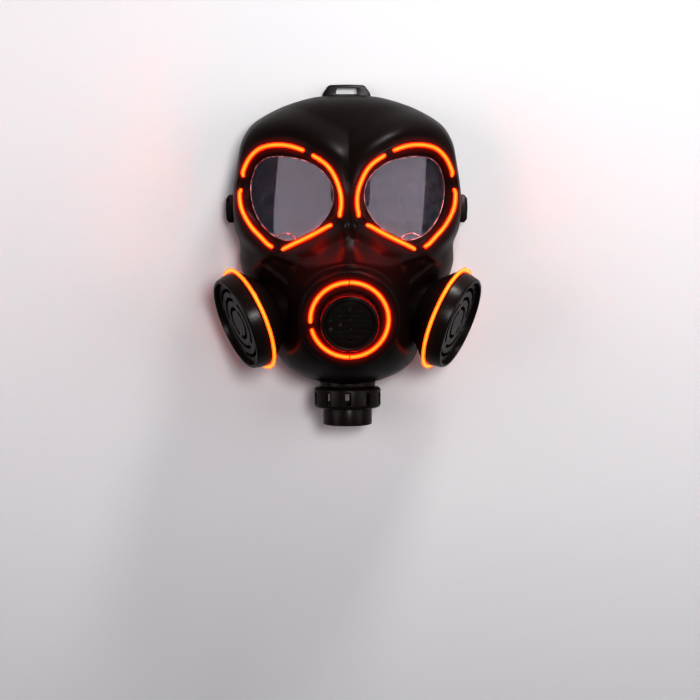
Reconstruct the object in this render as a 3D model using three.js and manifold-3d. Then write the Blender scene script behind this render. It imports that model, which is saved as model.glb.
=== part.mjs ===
// A moulded full-face costume mask in the style of a gas mask, lined with glowing wire.
// Millimetres. X runs across the face, Y up to the crown and Z out of the face.
// The mask lies on its back rim, which is flat and at Z = 0.
import * as THREE from "three";
import { mergeVertices } from "three/addons/utils/BufferGeometryUtils.js";
import Module from "manifold-3d";

const wasm = await Module();
wasm.setup();

// Driving dimensions of the moulded shell
const halfWidth = 90.5; // at the temples
const crownRise = 121; // from the middle of the face up to the crown
const chinDrop = 109; // and down to the chin
const faceDepth = 98; // from the back rim to the middle of the dome
const shellWall = 2.4;
const rimTuckShare = 0.035; // the edge turns in by this share at the rim
const rimTuckHeight = 25;
const clearance = 0.3; // between pieces that meet

// Eyes
const eyeAcross = halfWidth / 2; // centre of each eye from the middle of the face
const eyeUp = 44;
const eyeReach = 0.46 * halfWidth; // from that centre to the furthest point of the wire
const eyeHeight = faceDepth - 14.5; // of that centre above the rim
const eyeYaw = 33; // degrees outward
const eyePitch = 9; // degrees upward
const eyeBend = 110; // radius of the eye panel's bend about its upright axis
const bridgeRound = 11; // softens the crest where the two eye panels meet
const browSpread = 0.3; // how much further the eye panel runs out above the eye
const bevelDepth = 4.4; // from the wire in to the lens opening
const lipThickness = 1.3;
const lensThickness = 1.2;
const lensOverlap = 2.6; // how far the lens reaches behind its lip

// Glowing wire
const wireDiameter = 3.2;
const grooveDepth = 1.6;
const groovePlay = 0.5; // round the wire in its groove

// Nose, cheeks and mouth
const noseRise = 12;
const noseHalfWidth = 15;
const mouthDrop = 43.5; // centre of the mouth below the middle of the face
const mouthHeight = faceDepth + 14; // of the flange's front above the rim
const mouthPitch = 9; // degrees downward
const mouthSwell = 11; // how far the shell swells round the mouth
const mouthSwellRadius = 50;
const flangeRadius = 37.6;
const flangeThickness = 16;
const mouthWireRadius = 28.8;
const mouthWireFrom = 192.5; // degrees round the mouth, with the gap on its left
const mouthWireTo = 545.5;
const speechRadius = 21.4; // the round speech boss
const speechProud = 13; // how far it stands out of the flange
const speechInset = 12; // and how far it goes in
const speechWall = 2.4;
const grilleRecess = 2;
const grilleThickness = 1.6;
const speechHoleDiameter = 3;
const speechHolePitch = 7.9;

// Canisters, measured along their own axis from the plane of their wire
const canisterAcross = halfWidth - 14.2;
const canisterDrop = 49.7;
const canisterHeight = faceDepth - 34;
const canisterTurn = 67.6; // degrees away from straight ahead
const canisterFall = 20.5; // degrees below level
const canisterWireRadius = 40.2;
const canisterWireFrom = 94; // degrees round the canister, with the gap at its back
const canisterWireTo = 446;
const canisterFaceRadius = 35.7;
const canisterFace = 12.1; // front edge of the cap
const canisterShoulder = 18.4; // back face, behind the wire
const canisterShoulderRadius = 24;
const canisterSeatRadius = 25.6; // flat seat cut into the cheek for the shoulder
const seatWall = 3; // of this seat and the outlet's
const canisterNeckRadius = 16.9;
const canisterNeck = 9; // length of the neck in its port
const canisterWall = 2;
const portRadius = 22;
const portReach = 55; // how far back the port is built before the hollow cuts it off
const neckCut = 70; // and its bore
const ventRecess = 3.2;
const ventThickness = 1.8;
const ventSlot = 2.6;
const ventGap = 18; // degrees of solid between two slots of one ring

// Outlet under the chin, measured along its own axis from the top of the collar
const outletDrop = 109;
const outletHeight = 36;
const outletLean = 6.9; // degrees forward
const outletNeckRadius = 21.6;
const outletBeadRadius = 22.2;
const outletSeatRadius = 23.1; // flat seat cut into the chin for the bead
const outletBead = 5.7;
const outletSpigot = 18;
const outletSpigotLength = 10;
const outletBore = 14.9;
const collarRadius = 26.5;
const collarHeight = 16.2;
const collarWall = 3.1;
const collarSlots = 10;
const collarSlotWidth = 4.4;
const collarSlotTop = 3.7;
const collarSlotBottom = 13.3;
const tubeRadius = 19.4;
const tubeEnd = 29.6;
const tubeWall = 3;

// Strap fittings
const loopBase = 38.6;
const loopTop = 29.2;
const loopRise = 9.2;
const loopSlotWidth = 17.4;
const loopSlotHeight = 4.6;
const loopSlotLift = 1.8;
const loopThickness = 3.4;
const loopHeight = 5; // of its back above the rim
const clipUp = 31.4;
const clipLength = 21.4;
const clipProud = 5.4;
const clipDepth = 14;
const clipHeight = 7;
const clipSlotLength = 13;
const clipSlotWidth = 2.2;

// Outline of the shell from the crown down its right side to the chin: how far out as a share of
// halfWidth, how far up as a share of crownRise or chinDrop, and how square the dome is there.
const outlineTable = [
  { out: 0.0, up: 1.0, full: 2.6 },
  { out: 0.16, up: 0.995, full: 2.6 },
  { out: 0.3, up: 0.982, full: 2.6 },
  { out: 0.52, up: 0.934, full: 2.6 },
  { out: 0.68, up: 0.878, full: 2.55 },
  { out: 0.825, up: 0.804, full: 2.5 },
  { out: 0.91, up: 0.706, full: 2.45 },
  { out: 0.955, up: 0.553, full: 2.4 },
  { out: 0.993, up: 0.372, full: 2.4 },
  { out: 1.0, up: 0.25, full: 2.4 },
  { out: 0.99, up: 0.13, full: 2.35 },
  { out: 0.95, up: 0.04, full: 2.25 },
  { out: 0.95, up: -0.106, full: 2.2 },
  { out: 0.87, up: -0.319, full: 1.85 },
  { out: 0.73, up: -0.5, full: 1.9 },
  { out: 0.665, up: -0.66, full: 2.3 },
  { out: 0.6, up: -0.8, full: 2.8 },
  { out: 0.49, up: -0.885, full: 3.0 },
  { out: 0.34, up: -0.95, full: 2.9 },
  { out: 0.18, up: -0.988, full: 2.7 },
  { out: 0.0, up: -1.0, full: 2.6 },
];

// Outline of the right eye's wire about the eye's centre: degrees from straight out, turning up,
// and reach as a share of eyeReach.
const eyeTable = [
  { turn: 5, reach: 0.897 },
  { turn: 25, reach: 0.928 },
  { turn: 45, reach: 0.983 },
  { turn: 60, reach: 1.0 },
  { turn: 77, reach: 0.959 },
  { turn: 95, reach: 0.914 },
  { turn: 118, reach: 0.882 },
  { turn: 143, reach: 0.921 },
  { turn: 170, reach: 0.938 },
  { turn: 190, reach: 0.955 },
  { turn: 201, reach: 0.938 },
  { turn: 209, reach: 0.882 },
  { turn: 225, reach: 0.79 },
  { turn: 242, reach: 0.758 },
  { turn: 262, reach: 0.803 },
  { turn: 276, reach: 0.907 },
  { turn: 283, reach: 0.95 },
  { turn: 291, reach: 0.926 },
  { turn: 305, reach: 0.873 },
  { turn: 322, reach: 0.868 },
  { turn: 345, reach: 0.89 },
];

// Outline of the lens opening inside it, in the same columns
const openingTable = [
  { turn: 0, reach: 0.795 },
  { turn: 15, reach: 0.83 },
  { turn: 28, reach: 0.857 },
  { turn: 40, reach: 0.888 },
  { turn: 54, reach: 0.87 },
  { turn: 71, reach: 0.796 },
  { turn: 90, reach: 0.737 },
  { turn: 111, reach: 0.734 },
  { turn: 132, reach: 0.76 },
  { turn: 148, reach: 0.788 },
  { turn: 161, reach: 0.803 },
  { turn: 176, reach: 0.792 },
  { turn: 191, reach: 0.75 },
  { turn: 207, reach: 0.711 },
  { turn: 227, reach: 0.682 },
  { turn: 248, reach: 0.682 },
  { turn: 266, reach: 0.724 },
  { turn: 278, reach: 0.756 },
  { turn: 294, reach: 0.772 },
  { turn: 311, reach: 0.774 },
  { turn: 330, reach: 0.773 },
  { turn: 345, reach: 0.778 },
];

// The four lengths of wire round each eye, in degrees as above
const eyeWires = [
  { name: "upper_outer", from: 21, to: 109.5 },
  { name: "upper_inner", from: 118, to: 199 },
  { name: "lower_inner", from: 208, to: 279 },
  { name: "lower_outer", from: 287.5, to: 369 },
];

// Corners of the sunk cheek panel, as shares of halfWidth and of chinDrop below the middle
const panelTable = [
  { out: 0.64, down: -0.025 },
  { out: 0.415, down: 0.03 },
  { out: 0.495, down: 0.212 },
  { out: 0.76, down: 0.055 },
];
const panelSink = 2.6;
const panelRidge = 1.3;
const panelRidgeWidth = 2.5;
const panelEdge = 5; // width over which the panel's edge falls

const sides = [
  { name: "left", sign: -1 },
  { name: "right", sign: 1 },
];

const moulded = new THREE.MeshStandardMaterial({ color: 0x121214, roughness: 0.48 });
const gloss = new THREE.MeshStandardMaterial({ color: 0x0c0c0d, roughness: 0.28 });
const clear = new THREE.MeshStandardMaterial({ color: 0xe8e8ee, roughness: 0.08, transparent: true, opacity: 0.3 });
const glow = new THREE.MeshStandardMaterial({ color: 0xff6a10, roughness: 0.35, emissive: 0xff5a08 });

const rad = THREE.MathUtils.degToRad;
const smooth = (t) => THREE.MathUtils.smoothstep(t, 0, 1);

// Solids

function solid(geometry) {
  const bare = new THREE.BufferGeometry();
  bare.setAttribute("position", geometry.getAttribute("position"));
  bare.setIndex(geometry.index);
  const merged = mergeVertices(bare, 1e-4);
  return new wasm.Manifold(
    new wasm.Mesh({
      numProp: 3,
      vertProperties: Float32Array.from(merged.attributes.position.array),
      triVerts: Uint32Array.from(merged.index.array),
    }),
  );
}

function geometryOf(made) {
  const { numProp, vertProperties, triVerts } = made.getMesh();
  const position = [];
  for (let i = 0; i < vertProperties.length; i += numProp) {
    position.push(vertProperties[i], vertProperties[i + 1], vertProperties[i + 2]);
  }
  const geometry = new THREE.BufferGeometry();
  geometry.setAttribute("position", new THREE.Float32BufferAttribute(position, 3));
  geometry.setIndex(new THREE.BufferAttribute(triVerts, 1));
  geometry.computeVertexNormals();
  return geometry;
}

// The largest body of a solid, without the slivers that a cut can leave
function mainBody(made) {
  return made.decompose().reduce((a, b) => (a.volume() > b.volume() ? a : b));
}

function mirrored(geometry) {
  const copy = geometry.index ? geometry.toNonIndexed() : geometry.clone();
  copy.scale(-1, 1, 1);
  const p = copy.attributes.position;
  for (let i = 0; i < p.count; i += 3) {
    const [x, y, z] = [p.getX(i), p.getY(i), p.getZ(i)];
    p.setXYZ(i, p.getX(i + 1), p.getY(i + 1), p.getZ(i + 1));
    p.setXYZ(i + 1, x, y, z);
  }
  return copy;
}

// A closed surface over rings of points, each with as many points as the next.
// Round a loop the last ring joins the first, otherwise a fan closes each end.
function skin(rings, isLoop) {
  const count = rings[0].length;
  const points = rings.flat();
  const index = [];
  const bands = isLoop ? rings.length : rings.length - 1;
  for (let i = 0; i < bands; i++) {
    const next = (i + 1) % rings.length;
    for (let j = 0; j < count; j++) {
      const k = (j + 1) % count;
      const [a, b, c, d] = [i * count + j, i * count + k, next * count + k, next * count + j];
      index.push(a, b, c, a, c, d);
    }
  }
  if (!isLoop) {
    const middle = (ring) => ring.reduce((sum, p) => sum.add(p), new THREE.Vector3()).divideScalar(count);
    const last = (rings.length - 1) * count;
    points.push(middle(rings[0]), middle(rings.at(-1)));
    for (let j = 0; j < count; j++) {
      const k = (j + 1) % count;
      index.push(points.length - 2, k, j, points.length - 1, last + j, last + k);
    }
  }
  return new THREE.BufferGeometry().setFromPoints(points).setIndex(index);
}

// A turned piece about an axis: its profile lists radius and distance along the axis, with the
// outside going forward and the inside coming back.
function turned(profile, segments, frame) {
  const closed = [...profile, profile[0]].map(([r, along]) => new THREE.Vector2(r, along));
  return new THREE.LatheGeometry(closed, segments).applyMatrix4(frame);
}

// The frame of a turned piece: its own Y runs along the axis given
function axisFrame(origin, axis) {
  const turn = new THREE.Quaternion().setFromUnitVectors(new THREE.Vector3(0, 1, 0), axis);
  return new THREE.Matrix4().compose(origin, turn, new THREE.Vector3(1, 1, 1));
}

function cylinder(radius, from, to, frame, segments = 18) {
  const geometry = new THREE.CylinderGeometry(radius, radius, to - from, segments);
  return geometry.translate(0, (from + to) / 2, 0).applyMatrix4(frame);
}

function tube(points, radius, steps, sideCount = 6) {
  const section = new THREE.Shape();
  for (let i = 0; i < sideCount; i++) {
    const a = (i / sideCount) * 2 * Math.PI;
    const [x, y] = [radius * Math.cos(a), radius * Math.sin(a)];
    i ? section.lineTo(x, y) : section.moveTo(x, y);
  }
  const extrudePath = new THREE.CatmullRomCurve3(points);
  return new THREE.ExtrudeGeometry(section, { steps, extrudePath, bevelEnabled: false });
}

// Form of the shell

// Points of a closed outline as a function of the angle about the origin
function polar(points, sampleCount) {
  const curve = new THREE.CatmullRomCurve3(points, true);
  const samples = curve.getPoints(sampleCount).map((p) => ({
    angle: (Math.atan2(p.y, p.x) + 2 * Math.PI) % (2 * Math.PI),
    reach: Math.hypot(p.x, p.y),
    extra: p.z,
  }));
  samples.pop();
  samples.sort((a, b) => a.angle - b.angle);
  const [first, last] = [samples[0], samples.at(-1)];
  samples.unshift({ ...last, angle: last.angle - 2 * Math.PI });
  samples.push({ ...first, angle: first.angle + 2 * Math.PI });
  return (angle) => {
    const a = ((angle % (2 * Math.PI)) + 2 * Math.PI) % (2 * Math.PI);
    let [low, high] = [0, samples.length - 1];
    while (high - low > 1) {
      const mid = (low + high) >> 1;
      samples[mid].angle <= a ? (low = mid) : (high = mid);
    }
    const [p, q] = [samples[low], samples[high]];
    const t = (a - p.angle) / (q.angle - p.angle);
    return { reach: p.reach + t * (q.reach - p.reach), extra: p.extra + t * (q.extra - p.extra) };
  };
}

const outlinePoint = ({ out, up, full }) =>
  new THREE.Vector3(out * halfWidth, up * (up > 0 ? crownRise : chinDrop), full);
const rightHalf = outlineTable.map(outlinePoint);
const leftHalf = rightHalf.slice(1, -1).reverse().map((p) => new THREE.Vector3(-p.x, p.y, p.z));
const outlinePoints = [...rightHalf, ...leftHalf];
const outlineAt = polar(outlinePoints, 720);

const eyeRimPoint = ({ turn, reach }) => {
  const r = reach * eyeReach;
  return new THREE.Vector3(r * Math.cos(rad(turn)), r * Math.sin(rad(turn)), 0);
};
const eyeAt = polar(eyeTable.map(eyeRimPoint), 360);
const openingAt = polar(openingTable.map(eyeRimPoint), 360);

// Height of the bent eye panel above the rim
function eyePanel(across, y) {
  const a = across - eyeAcross;
  const bend = (a * a) / (2 * eyeBend);
  return eyeHeight - Math.tan(rad(eyeYaw)) * a - bend - Math.tan(rad(eyePitch)) * (y - eyeUp);
}

const panelCorners = panelTable.map(({ out, down }) => [out * halfWidth, -down * chinDrop]);

// Signed distance to the edge of the cheek panel, negative inside
function panelDistance(x, y) {
  let nearest = Infinity;
  let inside = false;
  panelCorners.forEach(([ax, ay], i) => {
    const [bx, by] = panelCorners[(i + 1) % panelCorners.length];
    const [ex, ey] = [bx - ax, by - ay];
    const t = Math.min(Math.max(((x - ax) * ex + (y - ay) * ey) / (ex * ex + ey * ey), 0), 1);
    nearest = Math.min(nearest, Math.hypot(x - ax - t * ex, y - ay - t * ey));
    if (ay > y !== by > y && x < ax + ((y - ay) / ey) * ex) inside = !inside;
  });
  return inside ? -nearest : nearest;
}

// Height of the shell's outside above the rim
function faceHeight(x, y) {
  const { reach, extra: full } = outlineAt(Math.atan2(y, x));
  const share = Math.min(Math.hypot(x, y) / reach, 1);
  const dome = faceDepth * (1 - share ** full) ** (1 / full);
  const fade = smooth(dome / (0.4 * faceDepth)); // the features die out towards the rim
  const across = Math.sqrt(x * x + bridgeRound * bridgeRound);
  const [ex, ey] = [Math.abs(x) - eyeAcross, y - eyeUp];
  const eyeShare = Math.hypot(ex, ey) / eyeAt(Math.atan2(ey, ex)).reach;
  const eyeBlend = 1 - smooth((eyeShare - 1.08) / (0.4 + browSpread * smooth(ey / 30)));
  const mouthDistance = Math.hypot(x, y + mouthDrop) / mouthSwellRadius;
  const swell = mouthSwell / (1 + mouthDistance ** 6);
  const noseShare = Math.abs(x) / (noseHalfWidth * (1 - 0.35 * smooth((y + 5) / 40)));
  const noseLength = 1 - smooth((y - 5) / 45);
  const nose = noseRise * noseLength * Math.exp(-(noseShare ** 2.6)) * (1 - swell / mouthSwell);
  const edge = panelDistance(Math.abs(x), y);
  const panel = panelRidge * Math.exp(-((edge / panelRidgeWidth) ** 2)) - panelSink * smooth(-edge / panelEdge);
  const formed = dome + (eyePanel(across, y) - dome) * eyeBlend;
  return formed + fade * (swell + nose + panel) - (1 - fade) * (formed - dome);
}

function facePoint(x, y) {
  return new THREE.Vector3(x, y, faceHeight(x, y));
}

function faceNormal(x, y) {
  const step = 0.5;
  const dx = (faceHeight(x + step, y) - faceHeight(x - step, y)) / (2 * step);
  const dy = (faceHeight(x, y + step) - faceHeight(x, y - step)) / (2 * step);
  return new THREE.Vector3(-dx, -dy, 1).normalize();
}

// How far the edge of the shell is tucked in at a height above the rim
function tuck(z) {
  return 1 - rimTuckShare * Math.max(1 - z / rimTuckHeight, 0) ** 2;
}

// Point on the steep side wall at an angle about the middle and a height above the rim
function wallPoint(angle, z) {
  const { reach, extra: full } = outlineAt(angle);
  const share = (1 - (z / faceDepth) ** full) ** (1 / full);
  const r = reach * share * tuck(z);
  return new THREE.Vector3(r * Math.cos(angle), r * Math.sin(angle), z);
}

// Rings of points from the middle of the face out to the rim, evenly spaced along the surface
function faceRings(columns, rows) {
  const fine = 200;
  const curve = new THREE.CatmullRomCurve3(outlinePoints, true);
  const spokes = curve.getSpacedPoints(columns).slice(0, columns).map((rim) => {
    const shares = [];
    const lengths = [0];
    for (let i = 0; i <= fine; i++) {
      const t = (i / fine) * (Math.PI / 2);
      shares.push([Math.sin(t) ** (2 / rim.z), faceDepth * Math.cos(t) ** (2 / rim.z)]);
      if (!i) continue;
      const [s0, z0] = shares[i - 1];
      const [s1, z1] = shares[i];
      lengths.push(lengths[i - 1] + Math.hypot((s1 - s0) * Math.hypot(rim.x, rim.y), z1 - z0));
    }
    const spoke = [];
    for (let row = 1; row <= rows; row++) {
      const goal = (row / rows) * lengths[fine];
      const i = row === rows ? fine : lengths.findIndex((length) => length >= goal);
      const share = shares[i][0];
      const z = row === rows ? 0 : faceHeight(rim.x * share, rim.y * share);
      const k = share * tuck(z);
      spoke.push(new THREE.Vector3(rim.x * k, rim.y * k, z));
    }
    return spoke;
  });
  return Array.from({ length: rows }, (_, row) => spokes.map((spoke) => spoke[row]));
}

// The dome as a solid down to its flat bottom, moved in by the wall's thickness
function dome(columns, rows, inset) {
  const rings = faceRings(columns, rows);
  const middle = facePoint(0, 0);
  const count = columns;
  const points = [middle, ...rings.flat()];
  const index = [];
  for (let j = 0; j < count; j++) {
    const k = (j + 1) % count;
    index.push(0, 1 + k, 1 + j);
    for (let i = 0; i < rows - 1; i++) {
      const [a, b] = [1 + i * count + j, 1 + i * count + k];
      const [c, d] = [b + count, a + count];
      index.push(a, b, c, a, c, d);
    }
  }
  const geometry = new THREE.BufferGeometry().setFromPoints(points).setIndex(index);
  geometry.computeVertexNormals();
  const normal = geometry.attributes.normal;
  const shift = (p, i) => {
    const n = new THREE.Vector3().fromBufferAttribute(normal, i);
    return p.clone().addScaledVector(n, -inset);
  };
  const moved = points.map(shift);
  const first = 1 + (rows - 1) * count;
  const bottom = inset ? -rimTuckHeight : 0;
  for (let i = first; i < moved.length; i++) moved[i].z = 0;
  const floor = moved.length;
  for (let j = 0; j < count; j++) moved.push(new THREE.Vector3(moved[first + j].x, moved[first + j].y, bottom));
  moved.push(new THREE.Vector3(0, 0, bottom));
  for (let j = 0; j < count; j++) {
    const k = (j + 1) % count;
    if (inset) index.push(first + j, first + k, floor + k, first + j, floor + k, floor + j);
    const [a, b] = inset ? [floor + j, floor + k] : [first + j, first + k];
    index.push(a, b, moved.length - 1);
  }
  return new THREE.BufferGeometry().setFromPoints(moved).setIndex(index);
}

// Frames of the turned pieces

const mouthAxis = new THREE.Vector3(0, -Math.sin(rad(mouthPitch)), Math.cos(rad(mouthPitch)));
const mouthFrame = axisFrame(new THREE.Vector3(0, -mouthDrop, mouthHeight), mouthAxis);

const canisterAxis = new THREE.Vector3(
  Math.sin(rad(canisterTurn)) * Math.cos(rad(canisterFall)),
  -Math.sin(rad(canisterTurn)) * Math.sin(rad(canisterFall)),
  Math.cos(rad(canisterTurn)),
);
const canisterFrame = axisFrame(
  new THREE.Vector3(canisterAcross, -canisterDrop, canisterHeight),
  canisterAxis,
);

const outletAxis = new THREE.Vector3(0, -Math.cos(rad(outletLean)), Math.sin(rad(outletLean)));
const outletFrame = axisFrame(new THREE.Vector3(0, -outletDrop, outletHeight), outletAxis);

const wireRadius = wireDiameter / 2;
const wireLift = wireRadius + groovePlay - grooveDepth; // centre of the wire above the surface

// Pieces of the right eye

// A point of the eye's surround: moved in or out from the wire's line, and up or down
function eyePoint(turn, offset, height) {
  const r = eyeAt(turn).reach + offset;
  const [x, y] = [eyeAcross + r * Math.cos(turn), eyeUp + r * Math.sin(turn)];
  return facePoint(x, y).addScaledVector(faceNormal(x, y), height);
}

// Turns at which the surround follows the eye, closer at its two corners
const eyeTurns = Array.from({ length: 24 }, (_, i) => 15 * i)
  .concat([202, 262, 278, 284, 291])
  .sort((a, b) => a - b);

function eyeLoop(offset, height) {
  return eyeTurns.map((turn) => eyePoint(rad(turn), offset, height));
}

// Width of the bevel from the wire in to the lens opening
function bevelAt(turn) {
  return eyeAt(turn).reach - openingAt(turn).reach;
}

function bevelLoop(height) {
  return eyeTurns.map((turn) => eyePoint(rad(turn), -bevelAt(rad(turn)), height));
}

// Groove for the wire and bevel in to the lens, as one closed band
function eyeSurround() {
  const half = wireRadius + groovePlay;
  const back = -bevelDepth - lipThickness;
  const section = [
    [half + 1.8, -shellWall - 0.8],
    [half + 1.6, 0.5],
    [half + 0.2, 0.5],
    [half, -grooveDepth],
    [0.3 - half, -grooveDepth],
    [-half, -0.3],
  ].map(([offset, height]) => eyeLoop(offset, height));
  return skin([...section, bevelLoop(-bevelDepth), bevelLoop(back), eyeLoop(-half, back)], true);
}

function eyeCutter() {
  const reach = wireRadius + groovePlay + 0.8;
  return skin([eyeLoop(reach, -9), eyeLoop(reach, 12)], false);
}

function lens() {
  const front = -bevelDepth - lipThickness - clearance;
  const rings = [];
  const shares = [1, 0.5];
  const count = 24;
  const at = (share, height) => {
    const ring = [];
    for (let i = 0; i < count; i++) {
      const turn = (i / count) * 2 * Math.PI;
      const r = (eyeAt(turn).reach - bevelAt(turn) + Math.min(lensOverlap, bevelAt(turn) / 2)) * share;
      const [x, y] = [eyeAcross + r * Math.cos(turn), eyeUp + r * Math.sin(turn)];
      ring.push(facePoint(x, y).addScaledVector(faceNormal(x, y), height));
    }
    return ring;
  };
  for (const share of [...shares].reverse()) rings.push(at(share, front));
  for (const share of shares) rings.push(at(share, front - lensThickness));
  return skin(rings.reverse(), false);
}

function eyeWire({ from, to }) {
  const points = [];
  const steps = 10;
  for (let i = 0; i <= steps; i++) {
    points.push(eyePoint(rad(from + ((to - from) * i) / steps), 0, wireLift));
  }
  return tube(points, wireRadius, steps, 5);
}

// Pieces of the mouth

function arc(radius, from, to, frame, steps) {
  const points = [];
  for (let i = 0; i <= steps; i++) {
    const a = rad(from + ((to - from) * i) / steps);
    points.push(new THREE.Vector3(radius * Math.cos(a), 0, -radius * Math.sin(a)).applyMatrix4(frame));
  }
  return points;
}

function mouthFlange() {
  const half = wireRadius + groovePlay;
  const [inner, outer] = [mouthWireRadius - half, mouthWireRadius + half];
  const profile = [
    [flangeRadius, -flangeThickness],
    [flangeRadius, -1],
    [flangeRadius - 1, 0],
    [outer, 0],
    [outer, -grooveDepth],
    [inner, -grooveDepth],
    [inner, 0],
    [speechRadius, 0],
    [speechRadius, -flangeThickness],
  ];
  return turned(profile, 26, mouthFrame);
}

function speechBoss() {
  const inner = speechRadius - speechWall;
  const seat = speechProud - grilleRecess - grilleThickness - clearance;
  const grille = speechRadius - 3.7;
  const profile = [
    [speechRadius, -speechInset],
    [speechRadius, speechProud - 2],
    [speechRadius - 2, speechProud],
    [grille, speechProud - 0.8],
    [grille, seat],
    [grille - 1.6, seat],
    [grille - 1.6, seat - 2],
    [inner, seat - 4],
    [inner, -speechInset],
  ];
  return turned(profile, 24, mouthFrame);
}

// Round plate on an axis, with holes given as three.js paths
function plate(radius, holes, from, thickness, frame) {
  const shape = new THREE.Shape().absarc(0, 0, radius, 0, 2 * Math.PI);
  shape.holes.push(...holes);
  const geometry = new THREE.ExtrudeGeometry(shape, {
    depth: thickness,
    bevelEnabled: false,
    curveSegments: 11,
  });
  return geometry.rotateX(-Math.PI / 2).translate(0, from, 0).applyMatrix4(frame);
}

function speechGrille() {
  const radius = speechRadius - 3.7 - clearance;
  const holes = [];
  const column = speechHolePitch * Math.cos(rad(30));
  for (let i = -2; i <= 2; i++) {
    for (let j = -2; j <= 2; j++) {
      const y = (j + (i % 2 ? 0 : 0.5)) * speechHolePitch;
      if (Math.hypot(i * column, y) > radius - speechHoleDiameter) continue;
      const hole = new THREE.Path();
      for (let k = 0; k < 6; k++) {
        const a = -(k / 6) * 2 * Math.PI;
        const r = speechHoleDiameter / 2;
        const [px, py] = [i * column + r * Math.cos(a), y + r * Math.sin(a)];
        k ? hole.lineTo(px, py) : hole.moveTo(px, py);
      }
      holes.push(hole);
    }
  }
  const from = speechProud - grilleRecess - grilleThickness;
  return plate(radius, holes, from, grilleThickness, mouthFrame);
}

// Pieces of the right canister

const bandRadius = canisterWireRadius - wireRadius - clearance;

function canisterPort() {
  return cylinder(portRadius, -portReach, -canisterShoulder - clearance, canisterFrame);
}

function canisterBody() {
  const shoulder = -canisterShoulder;
  const inner = canisterNeckRadius - canisterWall;
  const profile = [
    [canisterNeckRadius, shoulder - canisterNeck],
    [canisterNeckRadius, shoulder],
    [canisterShoulderRadius, shoulder],
    [bandRadius, -3],
    [bandRadius, wireRadius],
    [bandRadius - canisterWall, wireRadius],
    [bandRadius - canisterWall, -3.4],
    [canisterShoulderRadius - 1, shoulder + 3.4],
    [inner, shoulder + 2.4],
    [inner, shoulder - canisterNeck],
  ];
  return turned(profile, 22, canisterFrame);
}

function canisterCap() {
  const back = wireRadius + clearance;
  const inner = canisterFaceRadius - canisterWall;
  const seat = canisterFace - ventRecess - ventThickness - clearance;
  const profile = [
    [bandRadius + 0.3, back],
    [canisterFaceRadius + 0.7, canisterFace - 1],
    [canisterFaceRadius - 0.2, canisterFace],
    [inner, canisterFace],
    [inner, seat],
    [inner - 2.4, seat],
    [inner - 2.4, seat - 1.6],
    [bandRadius - canisterWall, back],
  ];
  return turned(profile, 22, canisterFrame);
}

// Vented face of a canister, with rings of slots along its round form
function canisterVent() {
  const radius = canisterFaceRadius - canisterWall - 2 * clearance;
  const rings = [
    { radius: 0.82 * radius, count: 4, turn: 45 },
    { radius: 0.6 * radius, count: 3, turn: 0 },
    { radius: 0.36 * radius, count: 2, turn: 90 },
  ];
  const holes = rings.flatMap((ring) => {
    const [inner, outer] = [ring.radius - ventSlot / 2, ring.radius + ventSlot / 2];
    const span = 360 / ring.count - ventGap;
    return Array.from({ length: ring.count }, (_, i) => {
      const middle = ring.turn + (i * 360) / ring.count;
      const [from, to] = [rad(middle - span / 2), rad(middle + span / 2)];
      const hole = new THREE.Path();
      const steps = 3;
      for (let k = 0; k <= 2 * steps + 1; k++) {
        const isOut = k > steps;
        const t = (isOut ? k - steps - 1 : steps - k) / steps;
        const a = from + t * (to - from);
        const r = isOut ? outer : inner;
        k ? hole.lineTo(r * Math.cos(a), r * Math.sin(a)) : hole.moveTo(r * Math.cos(a), r * Math.sin(a));
      }
      return hole;
    });
  });
  return plate(radius, holes, canisterFace - ventRecess - ventThickness, ventThickness, canisterFrame);
}

function canisterWire() {
  return tube(arc(canisterWireRadius, canisterWireFrom, canisterWireTo, canisterFrame, 28), wireRadius, 28, 5);
}

// Pieces of the outlet

function outletNeck() {
  const profile = [
    [outletSpigot, -outletBead - outletSpigotLength],
    [outletSpigot, -outletBead],
    [outletBeadRadius - 1, -outletBead],
    [outletBeadRadius, -outletBead + 1.4],
    [outletBeadRadius, -clearance - 1.4],
    [outletBeadRadius - 1, -clearance],
    [outletBore, -clearance],
    [outletBore, -outletBead - outletSpigotLength],
  ];
  return turned(profile, 20, outletFrame);
}

function outletCollar() {
  const inner = collarRadius - collarWall;
  const mouth = tubeRadius - tubeWall + clearance;
  const profile = [
    [mouth, collarHeight],
    [mouth, collarSlotBottom + 0.6],
    [inner, collarSlotBottom + 0.6],
    [inner, collarSlotTop - 1.5],
    [outletBore, collarSlotTop - 1.5],
    [outletBore, 0],
    [collarRadius - 1.6, 0],
    [collarRadius, 1.4],
    [collarRadius, collarHeight - 2.6],
    [collarRadius - 0.8, collarHeight - 0.8],
    [collarRadius - 2.6, collarHeight],
  ];
  let collar = solid(turned(profile, 20, outletFrame));
  for (let i = 0; i < collarSlots; i++) {
    const slot = new THREE.BoxGeometry(collarSlotWidth, collarSlotBottom - collarSlotTop, 2 * collarWall);
    slot.translate(0, (collarSlotTop + collarSlotBottom) / 2, collarRadius - collarWall / 2);
    slot.rotateY((i / collarSlots) * 2 * Math.PI).applyMatrix4(outletFrame);
    collar = collar.subtract(solid(slot));
  }
  return geometryOf(collar);
}

function outletTube() {
  const inner = tubeRadius - tubeWall;
  const spigotTop = collarSlotBottom + 0.9;
  const profile = [
    [inner, spigotTop],
    [inner, collarHeight + clearance],
    [tubeRadius, collarHeight + clearance],
    [tubeRadius, tubeEnd - 0.6],
    [tubeRadius - 0.6, tubeEnd],
    [inner + 0.4, tubeEnd],
    [inner, tubeEnd - 1],
    [inner, collarHeight + 4],
    [inner - 2.4, collarHeight + 1.6],
    [inner - 2.4, spigotTop],
  ];
  return turned(profile, 20, outletFrame);
}

// Strap fittings

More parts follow.
